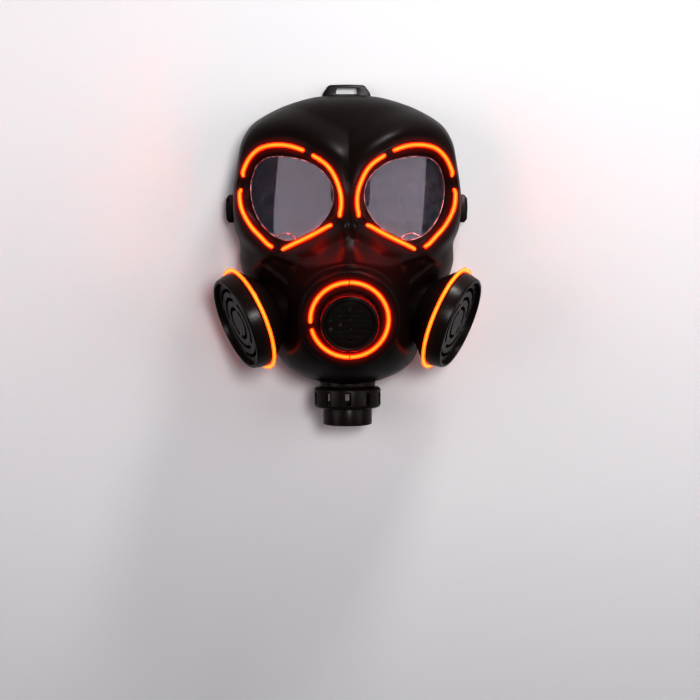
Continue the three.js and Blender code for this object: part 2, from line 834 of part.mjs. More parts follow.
function crownLoop() {
  const z = loopHeight + loopThickness / 2;
  const crown = wallPoint(Math.PI / 2, z).y + clearance;
  const foot = (x) => wallPoint(Math.atan2(crownRise, x), z).y + clearance;
  const shape = new THREE.Shape();
  const steps = 6;
  for (let i = 0; i <= steps; i++) {
    const x = loopBase * (i / steps - 0.5);
    i ? shape.lineTo(x, foot(x)) : shape.moveTo(x, foot(x));
  }
  const top = crown + loopRise;
  shape.lineTo(loopBase / 2 - 0.8, crown + 2.6);
  shape.lineTo(loopTop / 2, top - 1.2);
  shape.lineTo(loopTop / 2 - 2, top - 0.3);
  shape.lineTo(0, top);
  shape.lineTo(2 - loopTop / 2, top - 0.3);
  shape.lineTo(-loopTop / 2, top - 1.2);
  shape.lineTo(0.8 - loopBase / 2, crown + 2.6);
  const [half, low] = [loopSlotWidth / 2, crown + loopSlotLift];
  const slot = new THREE.Path();
  slot.moveTo(-half, low).lineTo(-half + 1, low + loopSlotHeight);
  slot.lineTo(half - 1, low + loopSlotHeight).lineTo(half, low);
  shape.holes.push(slot);
  const geometry = new THREE.ExtrudeGeometry(shape, { depth: loopThickness, bevelEnabled: false });
  return geometry.translate(0, 0, loopHeight);
}

// Strap clip on the right temple
function strapClip() {
  const half = clipLength / 2;
  const foot = (y) => {
    const low = wallPoint(Math.atan2(y, halfWidth), clipHeight + clipDepth).x;
    return low + clearance + 0.4;
  };
  const outer = foot(clipUp) + clipProud;
  const shape = new THREE.Shape();
  shape.moveTo(foot(clipUp - half), clipUp - half);
  shape.lineTo(outer - 2.4, clipUp - half);
  shape.lineTo(outer - 0.4, clipUp - half + 2.6);
  shape.lineTo(outer, clipUp);
  shape.lineTo(outer - 0.4, clipUp + half - 2.6);
  shape.lineTo(outer - 2.4, clipUp + half);
  shape.lineTo(foot(clipUp + half), clipUp + half);
  shape.lineTo(foot(clipUp), clipUp);
  const block = new THREE.ExtrudeGeometry(shape, { depth: clipDepth, bevelEnabled: false });
  block.translate(0, 0, clipHeight);
  const slot = new THREE.BoxGeometry(clipSlotWidth, clipSlotLength, clipDepth);
  slot.translate(outer - 2.8, clipUp, clipHeight - 4);
  return geometryOf(solid(block).subtract(solid(slot)));
}

// The moulded shell

function maskShell() {
  const outletSeat = -outletBead - clearance;
  const canisterSeat = -canisterShoulder - clearance;
  const boss = cylinder(outletNeckRadius, -26, outletSeat, outletFrame);
  const bothSides = (geometry) => [solid(geometry), solid(mirrored(geometry))];
  let shell = solid(dome(44, 12, 0));
  for (const piece of [...bothSides(canisterPort()), solid(boss), solid(mouthFlange())]) {
    shell = shell.add(piece);
  }
  shell = shell.subtract(solid(dome(32, 7, shellWall)));
  const seats = [
    ...bothSides(cylinder(canisterSeatRadius, canisterSeat - seatWall, canisterSeat, canisterFrame)),
    solid(cylinder(outletSeatRadius, outletSeat - seatWall, outletSeat, outletFrame)),
  ];
  for (const seat of seats) shell = shell.add(seat);
  const cuts = [
    ...bothSides(cylinder(canisterSeatRadius, canisterSeat, 0, canisterFrame)),
    solid(cylinder(outletSeatRadius, outletSeat, 12, outletFrame)),
    ...bothSides(cylinder(canisterNeckRadius + clearance, -neckCut, 0, canisterFrame)),
    ...bothSides(eyeCutter()),
    solid(cylinder(speechRadius + clearance, -30, 30, mouthFrame, 24)),
    solid(cylinder(outletSpigot + clearance, -34, 0, outletFrame)),
  ];
  for (const cut of cuts) shell = shell.subtract(cut);
  for (const surround of bothSides(eyeSurround())) shell = shell.add(surround);
  return geometryOf(mainBody(shell));
}

// Assembly

const mask = new THREE.Group();

function addPiece(name, geometry, material) {
  const mesh = new THREE.Mesh(geometry, material);
  mesh.name = name;
  mask.add(mesh);
}

function addPair(name, geometry, material) {
  for (const side of sides) {
    addPiece(name.replace("SIDE", side.name), side.sign > 0 ? geometry : mirrored(geometry), material);
  }
}

addPiece("mask_shell", maskShell(), moulded);
addPiece("crown_strap_loop", crownLoop(), gloss);
addPair("strap_clip_SIDE", strapClip(), gloss);
addPair("lens_SIDE", lens(), clear);
for (const wire of eyeWires) addPair("eye_wire_SIDE_" + wire.name, eyeWire(wire), glow);
addPiece("speech_boss", speechBoss(), moulded);
addPiece("speech_grille", speechGrille(), gloss);
const mouthArc = arc(mouthWireRadius, mouthWireFrom, mouthWireTo, mouthFrame, 28);
addPiece("mouth_wire", tube(mouthArc.map((p) => p.addScaledVector(mouthAxis, wireLift)), wireRadius, 28, 5), glow);
addPair("canister_body_SIDE", canisterBody(), gloss);
addPair("canister_cap_SIDE", canisterCap(), gloss);
addPair("canister_vent_SIDE", canisterVent(), gloss);
addPair("canister_wire_SIDE", canisterWire(), glow);
addPiece("outlet_neck", outletNeck(), gloss);
addPiece("outlet_collar", outletCollar(), gloss);
addPiece("outlet_tube", outletTube(), gloss);

// The origin is the middle of the space that the mask takes up on its surface
const space = new THREE.Box3().setFromObject(mask, true);
mask.position.set(0, -(space.min.y + space.max.y) / 2, 0);

export default mask;
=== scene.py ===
# A moulded full-face costume mask in gas mask style, lined with glowing orange wire.
# It lies face up on its back rim. Shapes are worked out in millimetres, with X across the face,
# Y up to the crown and Z out of the face, and put into the frame in metres.
import math

import bmesh
import bpy
import numpy as np
from mathutils import Matrix, Vector
from mathutils.geometry import delaunay_2d_cdt


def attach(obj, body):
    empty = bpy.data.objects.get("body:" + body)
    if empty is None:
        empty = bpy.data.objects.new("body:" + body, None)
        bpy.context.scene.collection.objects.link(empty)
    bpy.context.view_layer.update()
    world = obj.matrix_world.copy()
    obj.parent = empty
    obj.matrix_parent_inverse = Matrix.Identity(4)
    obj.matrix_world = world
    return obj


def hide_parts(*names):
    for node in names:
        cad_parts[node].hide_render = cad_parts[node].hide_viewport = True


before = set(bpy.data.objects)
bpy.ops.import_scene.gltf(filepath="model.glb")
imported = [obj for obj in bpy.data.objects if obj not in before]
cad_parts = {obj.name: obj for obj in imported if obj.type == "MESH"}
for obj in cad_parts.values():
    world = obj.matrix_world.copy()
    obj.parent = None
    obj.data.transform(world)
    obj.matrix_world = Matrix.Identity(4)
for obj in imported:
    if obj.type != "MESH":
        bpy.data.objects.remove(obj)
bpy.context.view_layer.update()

MM = 0.001

# Moulded shell
HALF_WIDTH = 90.5
CROWN_RISE = 121.0
CHIN_DROP = 109.0
FACE_DEPTH = 98.0
SHELL_WALL = 2.4
RIM_TUCK_SHARE = 0.035
RIM_TUCK_HEIGHT = 25.0
CLEARANCE = 0.3

# Eyes
EYE_ACROSS = HALF_WIDTH / 2
EYE_UP = 44.0
EYE_REACH = 0.46 * HALF_WIDTH
EYE_HEIGHT = FACE_DEPTH - 14.5
EYE_YAW = math.radians(33)
EYE_PITCH = math.radians(9)
EYE_BEND = 110.0
BRIDGE_ROUND = 11.0
BROW_SPREAD = 0.3
BEVEL_DEPTH = 4.4
LIP_THICKNESS = 1.3
LENS_THICKNESS = 1.2
LENS_OVERLAP = 2.6
LENS_TURNS = 120
LENS_BEAD = 0.45
# An arc near the bottom of each lens, coloured as a painted reflection of the wire's glow
LENS_REFLECTION_ARC = 0.7
LENS_REFLECTION_ARC_RADIUS = 9.2
LENS_REFLECTION_ARC_CENTRE = (49.9, 10.8)
LENS_REFLECTION_ARC_SPAN = (18, 162)

# Glowing wire
WIRE_RADIUS = 1.6
CORE_RADIUS = 0.75
GROOVE_DEPTH = 1.6
GROOVE_HALF = 2.1
WIRE_LIFT = 0.5
WIRE_STEPS = 64
END_DIVE = 1.4
END_DIVE_LENGTH = 2.4
MEAN_EYE_REACH = 0.9 * EYE_REACH

# Nose and mouth
NOSE_RISE = 12.0
NOSE_HALF_WIDTH = 15.0
MOUTH_DROP = 43.5
MOUTH_HEIGHT = FACE_DEPTH + 14
MOUTH_PITCH = math.radians(9)
MOUTH_SWELL = 11.0
MOUTH_SWELL_RADIUS = 50.0
FLANGE_RADIUS = 37.6
FILLET = 2.2
MOUTH_WIRE_RADIUS = 28.8
MOUTH_WIRE_SPAN = (192.5, 545.5)
TIE_TURNS = (90.5, 270.5)
TIE_THICKNESS = 0.36
SPEECH_RADIUS = 21.4
SPEECH_PROUD = 13.0
SPEECH_INSET = 12.0
SPEECH_WALL = 2.4
GRILLE_INSET = 3.7
GRILLE_RECESS = 2.0
GRILLE_THICKNESS = 1.6
SPEECH_HOLE_RADIUS = 1.5
SPEECH_HOLE_PITCH = 7.9

# Canisters, along their own axis from the plane of their wire
CANISTER_ACROSS = HALF_WIDTH - 14.2
CANISTER_DROP = 49.7
CANISTER_HEIGHT = FACE_DEPTH - 34
CANISTER_TURN = math.radians(67.6)
CANISTER_FALL = math.radians(20.5)
CANISTER_WIRE_RADIUS = 40.2
CANISTER_WIRE_SPAN = (94, 446)
CANISTER_FACE_RADIUS = 35.7
CANISTER_FACE = 12.1
CANISTER_SHOULDER = 18.4
CANISTER_SHOULDER_RADIUS = 24.0
CANISTER_SEAT_RADIUS = 25.6
CANISTER_NECK_RADIUS = 16.9
CANISTER_NECK = 9.0
CANISTER_WALL = 2.0
PORT_RADIUS = 22.0
SEAT_WALL = 3.0
VENT_RECESS = 3.2
VENT_THICKNESS = 1.8
VENT_SLOT = 2.6
VENT_GAP = 18.0

# Outlet, along its own axis from the top of the collar
OUTLET_DROP = 109.0
OUTLET_HEIGHT = 36.0
OUTLET_LEAN = math.radians(6.9)
OUTLET_NECK_RADIUS = 21.6
OUTLET_BEAD_RADIUS = 22.2
OUTLET_SEAT_RADIUS = 23.1
OUTLET_BEAD = 5.7
OUTLET_SPIGOT = 18.0
OUTLET_SPIGOT_LENGTH = 10.0
OUTLET_BORE = 14.9
COLLAR_RADIUS = 26.5
COLLAR_HEIGHT = 16.2
COLLAR_WALL = 3.1
COLLAR_SLOTS = 10
COLLAR_SLOT_WIDTH = 4.4
COLLAR_SLOT_TOP = 3.7
COLLAR_SLOT_BOTTOM = 13.3
TUBE_RADIUS = 19.4
TUBE_END = 29.6
TUBE_WALL = 3.0

# Strap fittings
LOOP_BASE = 38.6
LOOP_TOP = 29.2
LOOP_RISE = 9.2
LOOP_SLOT_WIDTH = 17.4
LOOP_SLOT_HEIGHT = 4.6
LOOP_SLOT_LIFT = 1.8
LOOP_THICKNESS = 3.4
LOOP_HEIGHT = 5.0
CLIP_UP = 31.4
CLIP_LENGTH = 21.4
CLIP_PROUD = 5.4
CLIP_DEPTH = 14.0
CLIP_HEIGHT = 7.0

# Outline from the crown down the right side to the chin: how far out as a share of HALF_WIDTH,
# how far up as a share of CROWN_RISE or CHIN_DROP, and how square the dome is there
OUTLINE = [
    (0.0, 1.0, 2.6),
    (0.16, 0.995, 2.6),
    (0.3, 0.982, 2.6),
    (0.52, 0.934, 2.6),
    (0.68, 0.878, 2.55),
    (0.825, 0.804, 2.5),
    (0.91, 0.706, 2.45),
    (0.955, 0.553, 2.4),
    (0.993, 0.372, 2.4),
    (1.0, 0.25, 2.4),
    (0.99, 0.13, 2.35),
    (0.95, 0.04, 2.25),
    (0.95, -0.106, 2.2),
    (0.87, -0.319, 1.85),
    (0.73, -0.5, 1.9),
    (0.665, -0.66, 2.3),
    (0.6, -0.8, 2.8),
    (0.49, -0.885, 3.0),
    (0.34, -0.95, 2.9),
    (0.18, -0.988, 2.7),
    (0.0, -1.0, 2.6),
]

# Outline of the right eye's wire: degrees from straight out and reach as a share of EYE_REACH
EYE_OUTLINE = [
    (5, 0.897),
    (25, 0.928),
    (45, 0.983),
    (60, 1.0),
    (77, 0.959),
    (95, 0.914),
    (118, 0.882),
    (143, 0.921),
    (170, 0.938),
    (190, 0.955),
    (201, 0.938),
    (209, 0.882),
    (225, 0.79),
    (242, 0.758),
    (262, 0.803),
    (276, 0.907),
    (283, 0.95),
    (291, 0.926),
    (305, 0.873),
    (322, 0.868),
    (345, 0.89),
]

# Outline of the lens opening inside it, in the same columns
OPENING_OUTLINE = [
    (0, 0.795),
    (15, 0.83),
    (28, 0.857),
    (40, 0.888),
    (54, 0.87),
    (71, 0.796),
    (90, 0.737),
    (111, 0.734),
    (132, 0.76),
    (148, 0.788),
    (161, 0.803),
    (176, 0.792),
    (191, 0.75),
    (207, 0.711),
    (227, 0.682),
    (248, 0.682),
    (266, 0.724),
    (278, 0.756),
    (294, 0.772),
    (311, 0.774),
    (330, 0.773),
    (345, 0.778),
]

# The lengths of wire round each eye, in degrees as above
EYE_WIRES = {
    "upper_outer": (21, 109.5),
    "upper_inner": (118, 199),
    "lower_inner": (208, 279),
    "lower_outer": (287.5, 369),
}

# Corners of the sunk cheek panel, as shares of HALF_WIDTH and of CHIN_DROP below the middle
PANEL = [(0.64, -0.025), (0.415, 0.03), (0.495, 0.212), (0.76, 0.055)]
PANEL_SINK = 2.6
PANEL_RIDGE = 1.3
PANEL_RIDGE_WIDTH = 2.5
PANEL_EDGE = 5.0

SIDES = {"left": -1, "right": 1}

# Edges sharper than this many degrees are shaded as edges
EDGE_ANGLE = 32
PLATE_EDGE_ANGLE = 12

FLOOR_HALF = 12.0


# Form of the shell


def closed_curve(points, steps):
    """Samples of a smooth closed curve through points, steps to each span."""
    p = np.asarray(points, float)
    q = [np.roll(p, 1, 0), p, np.roll(p, -1, 0), np.roll(p, -2, 0)]
    d = [np.sqrt(np.linalg.norm(q[i + 1] - q[i], axis=1))[:, None] for i in range(3)]
    slope_1 = (q[1] - q[0]) / d[0] - (q[2] - q[0]) / (d[0] + d[1]) + (q[2] - q[1]) / d[1]
    slope_2 = (q[2] - q[1]) / d[1] - (q[3] - q[1]) / (d[1] + d[2]) + (q[3] - q[2]) / d[2]
    m1, m2 = slope_1 * d[1], slope_2 * d[1]
    t = (np.arange(steps) / steps)[None, :, None]
    a, b, m1, m2 = q[1][:, None], q[2][:, None], m1[:, None], m2[:, None]
    curve = a + m1 * t + (-3 * a + 3 * b - 2 * m1 - m2) * t**2 + (2 * a - 2 * b + m1 + m2) * t**3
    return curve.reshape(-1, p.shape[1])


def polar_table(samples):
    """Angle, reach and extra column of a closed outline, ready for np.interp."""
    angle = np.arctan2(samples[:, 1], samples[:, 0]) % (2 * np.pi)
    order = np.argsort(angle)
    reach = np.hypot(samples[:, 0], samples[:, 1])
    return angle[order], reach[order], samples[order, 2]


def rays(turns):
    return np.stack([np.cos(turns), np.sin(turns)], -1)


def smooth(t):
    t = np.clip(t, 0, 1)
    return t * t * (3 - 2 * t)


right_half = [(o * HALF_WIDTH, u * (CROWN_RISE if u > 0 else CHIN_DROP), f) for o, u, f in OUTLINE]
left_half = [(-x, y, f) for x, y, f in right_half[1:-1]][::-1]
outline_samples = closed_curve(right_half + left_half, 40)
outline_table = polar_table(outline_samples)


def eye_curve(outline):
    points = [(r * EYE_REACH, math.radians(turn)) for turn, r in outline]
    points = [(r * math.cos(turn), r * math.sin(turn), 0) for r, turn in points]
    return polar_table(closed_curve(points, 40))


eye_table = eye_curve(EYE_OUTLINE)
opening_table = eye_curve(OPENING_OUTLINE)


def outline_at(angle):
    angles, reach, full = outline_table
    a = np.asarray(angle) % (2 * np.pi)
    return np.interp(a, angles, reach, period=2 * np.pi), np.interp(a, angles, full, period=2 * np.pi)


def eye_at(angle, table=eye_table):
    angles, reach, _ = table
    return np.interp(np.asarray(angle) % (2 * np.pi), angles, reach, period=2 * np.pi)


def panel_distance(x, y):
    """Distance to the edge of the cheek panel, negative inside."""
    corners = [(o * HALF_WIDTH, -d * CHIN_DROP) for o, d in PANEL]
    nearest = np.full(np.shape(x), np.inf)
    inside = np.zeros(np.shape(x), bool)
    for (ax, ay), (bx, by) in zip(corners, corners[1:] + corners[:1]):
        ex, ey = bx - ax, by - ay
        t = np.clip(((x - ax) * ex + (y - ay) * ey) / (ex * ex + ey * ey), 0, 1)
        nearest = np.minimum(nearest, np.hypot(x - ax - t * ex, y - ay - t * ey))
        crosses = ((ay > y) != (by > y)) & (x < ax + (y - ay) / ey * ex)
        inside ^= crosses
    return np.where(inside, -nearest, nearest)


def face_height(x, y):
    """Height of the shell's outside above the rim."""
    x, y = np.asarray(x, float), np.asarray(y, float)
    reach, full = outline_at(np.arctan2(y, x))
    share = np.minimum(np.hypot(x, y) / reach, 1)
    dome = FACE_DEPTH * np.maximum(1 - share**full, 0) ** (1 / full)
    fade = smooth(dome / (0.4 * FACE_DEPTH))
    across = np.sqrt(x * x + BRIDGE_ROUND * BRIDGE_ROUND)
    ex, ey = np.abs(x) - EYE_ACROSS, y - EYE_UP
    eye_share = np.hypot(ex, ey) / eye_at(np.arctan2(ey, ex))
    eye_blend = 1 - smooth((eye_share - 1.08) / (0.4 + BROW_SPREAD * smooth(ey / 30)))
    swell = MOUTH_SWELL / (1 + (np.hypot(x, y + MOUTH_DROP) / MOUTH_SWELL_RADIUS) ** 6)
    nose_share = np.abs(x) / (NOSE_HALF_WIDTH * (1 - 0.35 * smooth((y + 5) / 40)))
    nose_length = 1 - smooth((y - 5) / 45)
    nose = NOSE_RISE * nose_length * np.exp(-(nose_share**2.6)) * (1 - swell / MOUTH_SWELL)
    edge = panel_distance(np.abs(x), y)
    ridge = PANEL_RIDGE * np.exp(-((edge / PANEL_RIDGE_WIDTH) ** 2))
    panel = ridge - PANEL_SINK * smooth(-edge / PANEL_EDGE)
    a = across - EYE_ACROSS
    eye_panel = EYE_HEIGHT - math.tan(EYE_YAW) * a - a * a / (2 * EYE_BEND)
    eye_panel = eye_panel - math.tan(EYE_PITCH) * (y - EYE_UP)
    formed = dome + (eye_panel - dome) * eye_blend
    return formed + fade * (swell + nose + panel) - (1 - fade) * (formed - dome)


def tucked(x, y, z):
    """A point of the skin, with the edge turned in near the rim."""
    tuck = 1 - RIM_TUCK_SHARE * np.maximum(1 - z / RIM_TUCK_HEIGHT, 0) ** 2
    return np.stack([x * tuck, y * tuck, z], -1)


def face_points(plan):
    return tucked(plan[:, 0], plan[:, 1], face_height(plan[:, 0], plan[:, 1]))


def face_normals(plan, step=0.5):
    x, y = plan[:, 0], plan[:, 1]
    dx = (face_height(x + step, y) - face_height(x - step, y)) / (2 * step)
    dy = (face_height(x, y + step) - face_height(x, y - step)) / (2 * step)
    n = np.stack([-dx, -dy, np.ones_like(dx)], -1)
    return n / np.linalg.norm(n, axis=1)[:, None]


def wall_reach(angle, z):
    """How far out the steep side wall is, at an angle about the middle and a height."""
    reach, full = outline_at(angle)
    tuck = 1 - RIM_TUCK_SHARE * max(1 - z / RIM_TUCK_HEIGHT, 0) ** 2
    return float(reach * (1 - (z / FACE_DEPTH) ** full) ** (1 / full) * tuck)


# Frames of the turned pieces


def axis_frame(origin, axis):
    """A matrix whose own Z runs along the axis, turned the shortest way from Y."""
    turn = Vector((0, 1, 0)).rotation_difference(Vector(axis)).to_matrix()
    columns = [turn @ Vector(v) for v in ((1, 0, 0), (0, 0, -1), (0, 1, 0))] + [Vector(origin)]
    return np.array([[c[i] for c in columns] for i in range(3)])


mouth_axis = (0, -math.sin(MOUTH_PITCH), math.cos(MOUTH_PITCH))
mouth_frame = axis_frame((0, -MOUTH_DROP, MOUTH_HEIGHT), mouth_axis)
outlet_axis = (0, -math.cos(OUTLET_LEAN), math.sin(OUTLET_LEAN))
outlet_frame = axis_frame((0, -OUTLET_DROP, OUTLET_HEIGHT), outlet_axis)


def side_frame(sign):
    axis = (
        sign * math.sin(CANISTER_TURN) * math.cos(CANISTER_FALL),
        -math.sin(CANISTER_TURN) * math.sin(CANISTER_FALL),
        math.cos(CANISTER_TURN),
    )
    return axis_frame((sign * CANISTER_ACROSS, -CANISTER_DROP, CANISTER_HEIGHT), axis)


def on_frame(points, matrix):
    p = np.asarray(points, float)
    return p @ matrix[:, :3].T + matrix[:, 3]


crown_y = wall_reach(math.pi / 2, LOOP_HEIGHT + LOOP_THICKNESS / 2) + CLEARANCE
lowest_y = -OUTLET_DROP - TUBE_END * math.cos(OUTLET_LEAN) - TUBE_RADIUS * math.sin(OUTLET_LEAN)
SHIFT = np.array([0, -(crown_y + LOOP_RISE + lowest_y) / 2, 0])


# Meshes


def made(name, parts, materials, edge_angle=EDGE_ANGLE):
    """One object from a list of (points in mm, faces, material index), in the frame's metres.
    It rides on the only body, stands for the CAD node of its name and takes the given materials."""
    points, faces, kinds, start = [], [], [], 0
    for part_points, part_faces, kind in parts:
        points.append(np.asarray(part_points, float))
        faces += [tuple(int(i) + start for i in face) for face in part_faces]
        kinds += [kind] * len(part_faces)
        start += len(part_points)
    mesh = bpy.data.meshes.new(name)
    mesh.from_pydata(((np.concatenate(points) + SHIFT) * MM).tolist(), [], faces)
    for material in materials:
        mesh.materials.append(material)
    mesh.polygons.foreach_set("material_index", kinds)
    mesh.shade_smooth()
    mesh.set_sharp_from_angle(angle=math.radians(edge_angle))
    mesh.update()
    piece = bpy.data.objects.new(name, mesh)
    bpy.context.scene.collection.objects.link(piece)
    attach(piece, "root")
    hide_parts(name)


def band(rings, is_loop=False):
    """Quads between closed rings of points, each with as many points as the next."""
    count = len(rings[0])
    faces = []
    for i in range(len(rings) if is_loop else len(rings) - 1):
        a, b = i * count, (i + 1) % len(rings) * count
        for j in range(count):
            k = (j + 1) % count
            faces.append((a + j, a + k, b + k, b + j))
    return np.concatenate(rings), faces


def rounded(profile, radius, steps):
    """A closed profile with its corners rounded."""
    p = np.asarray(profile, float)
    out = []
    for i, corner in enumerate(p):
        before, after = p[i - 1] - corner, p[(i + 1) % len(p)] - corner
        la, lb = np.linalg.norm(before), np.linalg.norm(after)
        reach = min(radius, 0.45 * la, 0.45 * lb)
        start, end = corner + before / la * reach, corner + after / lb * reach
        for k in range(steps + 1):
            t = k / steps
            out.append((1 - t) ** 2 * start + 2 * t * (1 - t) * corner + t * t * end)
    return np.array(out)


def turned(profile, segments, matrix, radius, steps):
    """A turned ring from a closed profile of (radius, distance along the axis)."""
    p = rounded(profile, radius, steps)
    turn = np.arange(segments) / segments * 2 * np.pi
    rings = [
        np.stack([r * np.cos(turn), r * np.sin(turn), np.full(segments, along)], -1) for r, along in p
    ]
    points, faces = band(rings, is_loop=True)
    points = on_frame(points, matrix)
    return points, facing_out(points, faces)


def facing_out(points, faces):
    """The faces turned round if they enclose a negative volume."""
    volume = 0.0
    p = np.asarray(points)
    for face in faces:
        a = p[face[0]]
        for i in range(1, len(face) - 1):
            volume += float(np.dot(a, np.cross(p[face[i]], p[face[i + 1]])))
    return faces if volume > 0 else [tuple(reversed(face)) for face in faces]


def sweep(path, radius, sides, is_loop=False):
    """A round tube along a path of points, with round ends."""
    p = np.asarray(path, float)
    if not is_loop:
        start, end = p[0] - p[1], p[-1] - p[-2]
        start, end = start / np.linalg.norm(start), end / np.linalg.norm(end)
    tangent = np.roll(p, -1, 0) - np.roll(p, 1, 0)
    if not is_loop:
        tangent[0], tangent[-1] = p[1] - p[0], p[-1] - p[-2]
    tangent /= np.linalg.norm(tangent, axis=1)[:, None]
    side = np.cross(tangent[0], (0.3, 0.5, 0.8))
    sides_at = []
    for t in tangent:
        side = side - t * np.dot(side, t)
        side = side / np.linalg.norm(side)
        sides_at.append(side)
    a = np.arange(sides) / sides * 2 * np.pi

    def ring(centre, t, s, r):
        other = np.cross(t, s)
        return centre + r * (np.cos(a)[:, None] * s + np.sin(a)[:, None] * other)

    rings = [ring(c, t, s, radius) for c, t, s in zip(p, tangent, sides_at)]
    if is_loop:
        points, faces = band(rings, is_loop=True)
        return points, facing_out(points, faces)
    caps = [math.radians(d) for d in (30, 60, 80)]
    first = [
        ring(p[0] + start * radius * math.sin(c), tangent[0], sides_at[0], radius * math.cos(c))
        for c in reversed(caps)
    ]
    last = [
        ring(p[-1] + end * radius * math.sin(c), tangent[-1], sides_at[-1], radius * math.cos(c))
        for c in caps
    ]
    rings = first + rings + last
    points, faces = band(rings)
    faces.append(tuple(range(sides))[::-1])
    faces.append(tuple(range(len(points) - sides, len(points))))
    return points, facing_out(points, faces)


def on_side(parts, sign):
    """Pieces made for the right side, mirrored if the side is the left one."""
    if sign > 0:
        return parts
    return [
        (np.asarray(points) * (-1, 1, 1), [tuple(reversed(face)) for face in faces], kind)
        for points, faces, kind in parts
    ]


def plate(loops, start, thickness, edge, matrix):
    """A flat plate with rounded edges. An outline inside another one is a hole."""
    curve = bpy.data.curves.new("plate", "CURVE")
    curve.dimensions = "2D"
    curve.fill_mode = "BOTH"
    curve.extrude = thickness / 2 - edge
    curve.bevel_depth = edge
    curve.bevel_resolution = 2
    curve.offset = -edge
    for loop in loops:
        spline = curve.splines.new("POLY")
        spline.points.add(len(loop) - 1)
        for point, (x, y) in zip(spline.points, loop):
            point.co = (x, y, 0, 1)
        spline.use_cyclic_u = True
    holder = bpy.data.objects.new("plate", curve)
    points, faces = taken_out(holder)
    bpy.data.curves.remove(curve)
    return on_frame(points + (0, 0, start + thickness / 2), matrix), faces


def taken_out(holder):
    """Points and faces of an object as it is shown, welded, with the object removed."""
    bpy.context.scene.collection.objects.link(holder)
    bpy.context.view_layer.update()
    shown = holder.evaluated_get(bpy.context.evaluated_depsgraph_get())
    mesh = bpy.data.meshes.new_from_object(shown)
    work = bmesh.new()
    work.from_mesh(mesh)
    bmesh.ops.remove_doubles(work, verts=work.verts, dist=1e-4)
    bmesh.ops.recalc_face_normals(work, faces=work.faces)
    work.verts.index_update()
    points = np.array([v.co for v in work.verts])
    faces = [tuple(v.index for v in face.verts) for face in work.faces]
    work.free()
    bpy.data.meshes.remove(mesh)
    bpy.data.objects.remove(holder)
    return points, faces


def circle(radius, centre=(0, 0), count=24):
    a = np.arange(count) / count * 2 * np.pi
    return [(centre[0] + radius * math.cos(t), centre[1] + radius * math.sin(t)) for t in a]


# Skin of the shell: nets of triangles between the rim, the eyes and the mouth

COLUMNS = 400
ROWS = 120
INNER_ROWS = 40
EYE_TURNS = 160
MOUTH_TURNS = 144
EYE_JOIN = 3.6
MOUTH_JOIN = 7.4
HOLE_RADIUS = SPEECH_RADIUS + CLEARANCE


def outline_columns(count):
    """Rim points evenly spaced along the outline, with their squareness."""
    p = outline_samples
    step = np.linalg.norm((np.roll(p, -1, 0) - p)[:, :2], axis=1)
    along = np.concatenate([[0], np.cumsum(step)])
    angle = np.unwrap(np.arctan2(p[:, 1], p[:, 0]))
    angle = np.concatenate([angle, [angle[0] - 2 * np.pi]])
    angle = np.interp(np.arange(count) / count * along[-1], along, angle)[::-1]
    reach, full = outline_at(angle)
    return reach[:, None] * rays(angle), full


def spokes(columns, rows):
    """Plan points by row and column, evenly spaced along the skin from the middle to the rim."""
    rim, full = outline_columns(columns)
    reach = np.hypot(rim[:, 0], rim[:, 1])
    t = np.linspace(0, np.pi / 2, 300)[:, None]
    share = np.sin(t) ** (2 / full)
    height = FACE_DEPTH * np.cos(t) ** (2 / full)
    step = np.hypot(np.diff(share, axis=0) * reach, np.diff(height, axis=0))
    length = np.concatenate([np.zeros((1, columns)), np.cumsum(step, 0)])
    goals = np.arange(1, rows + 1) / rows
    shares = np.stack(
        [np.interp(goals * length[-1, j], length[:, j], share[:, j]) for j in range(columns)], 1
    )
    shares[-1] = 1
    return rim[None] * shares[:, :, None]


def unrolled(plan):
    """Plan points moved along their spokes so that the steep side wall is spread out."""
    reach, full = outline_at(np.arctan2(plan[:, 1], plan[:, 0]))
    share = np.minimum(np.hypot(plan[:, 0], plan[:, 1]) / reach, 1)
    spread = np.arcsin(np.minimum(share ** (full / 2), 1)) / (np.pi / 2)
    return plan * (spread / np.maximum(share, 1e-9))[:, None]


def eye_plan(turns, reach):
    return (EYE_ACROSS, EYE_UP) + reach[:, None] * rays(turns)


def eye_ring(turns, reach, height):
    """Points round the right eye at a reach from its middle and a height over the face."""
    plan = eye_plan(turns, reach)
    return face_points(plan) + face_normals(plan) * height


def mouth_local(points):
    """Points in the frame of the mouth."""
    return (np.asarray(points) - mouth_frame[:, 3]) @ mouth_frame[:, :3]


def mouth_plan(radius, turns):
    """Plan points whose skin lies at a radius about the mouth's axis."""
    goal = radius * rays(turns)
    plan = goal + (0, -MOUTH_DROP)
    for _ in range(30):
        plan = plan + 0.7 * (goal - mouth_local(face_points(plan))[:, :2])
    return plan


def ordered(ids):
    """Whether three places on a ring come in the ring's own order."""
    a, b, c = ids
    return (a < b < c) or (b < c < a) or (c < a < b)


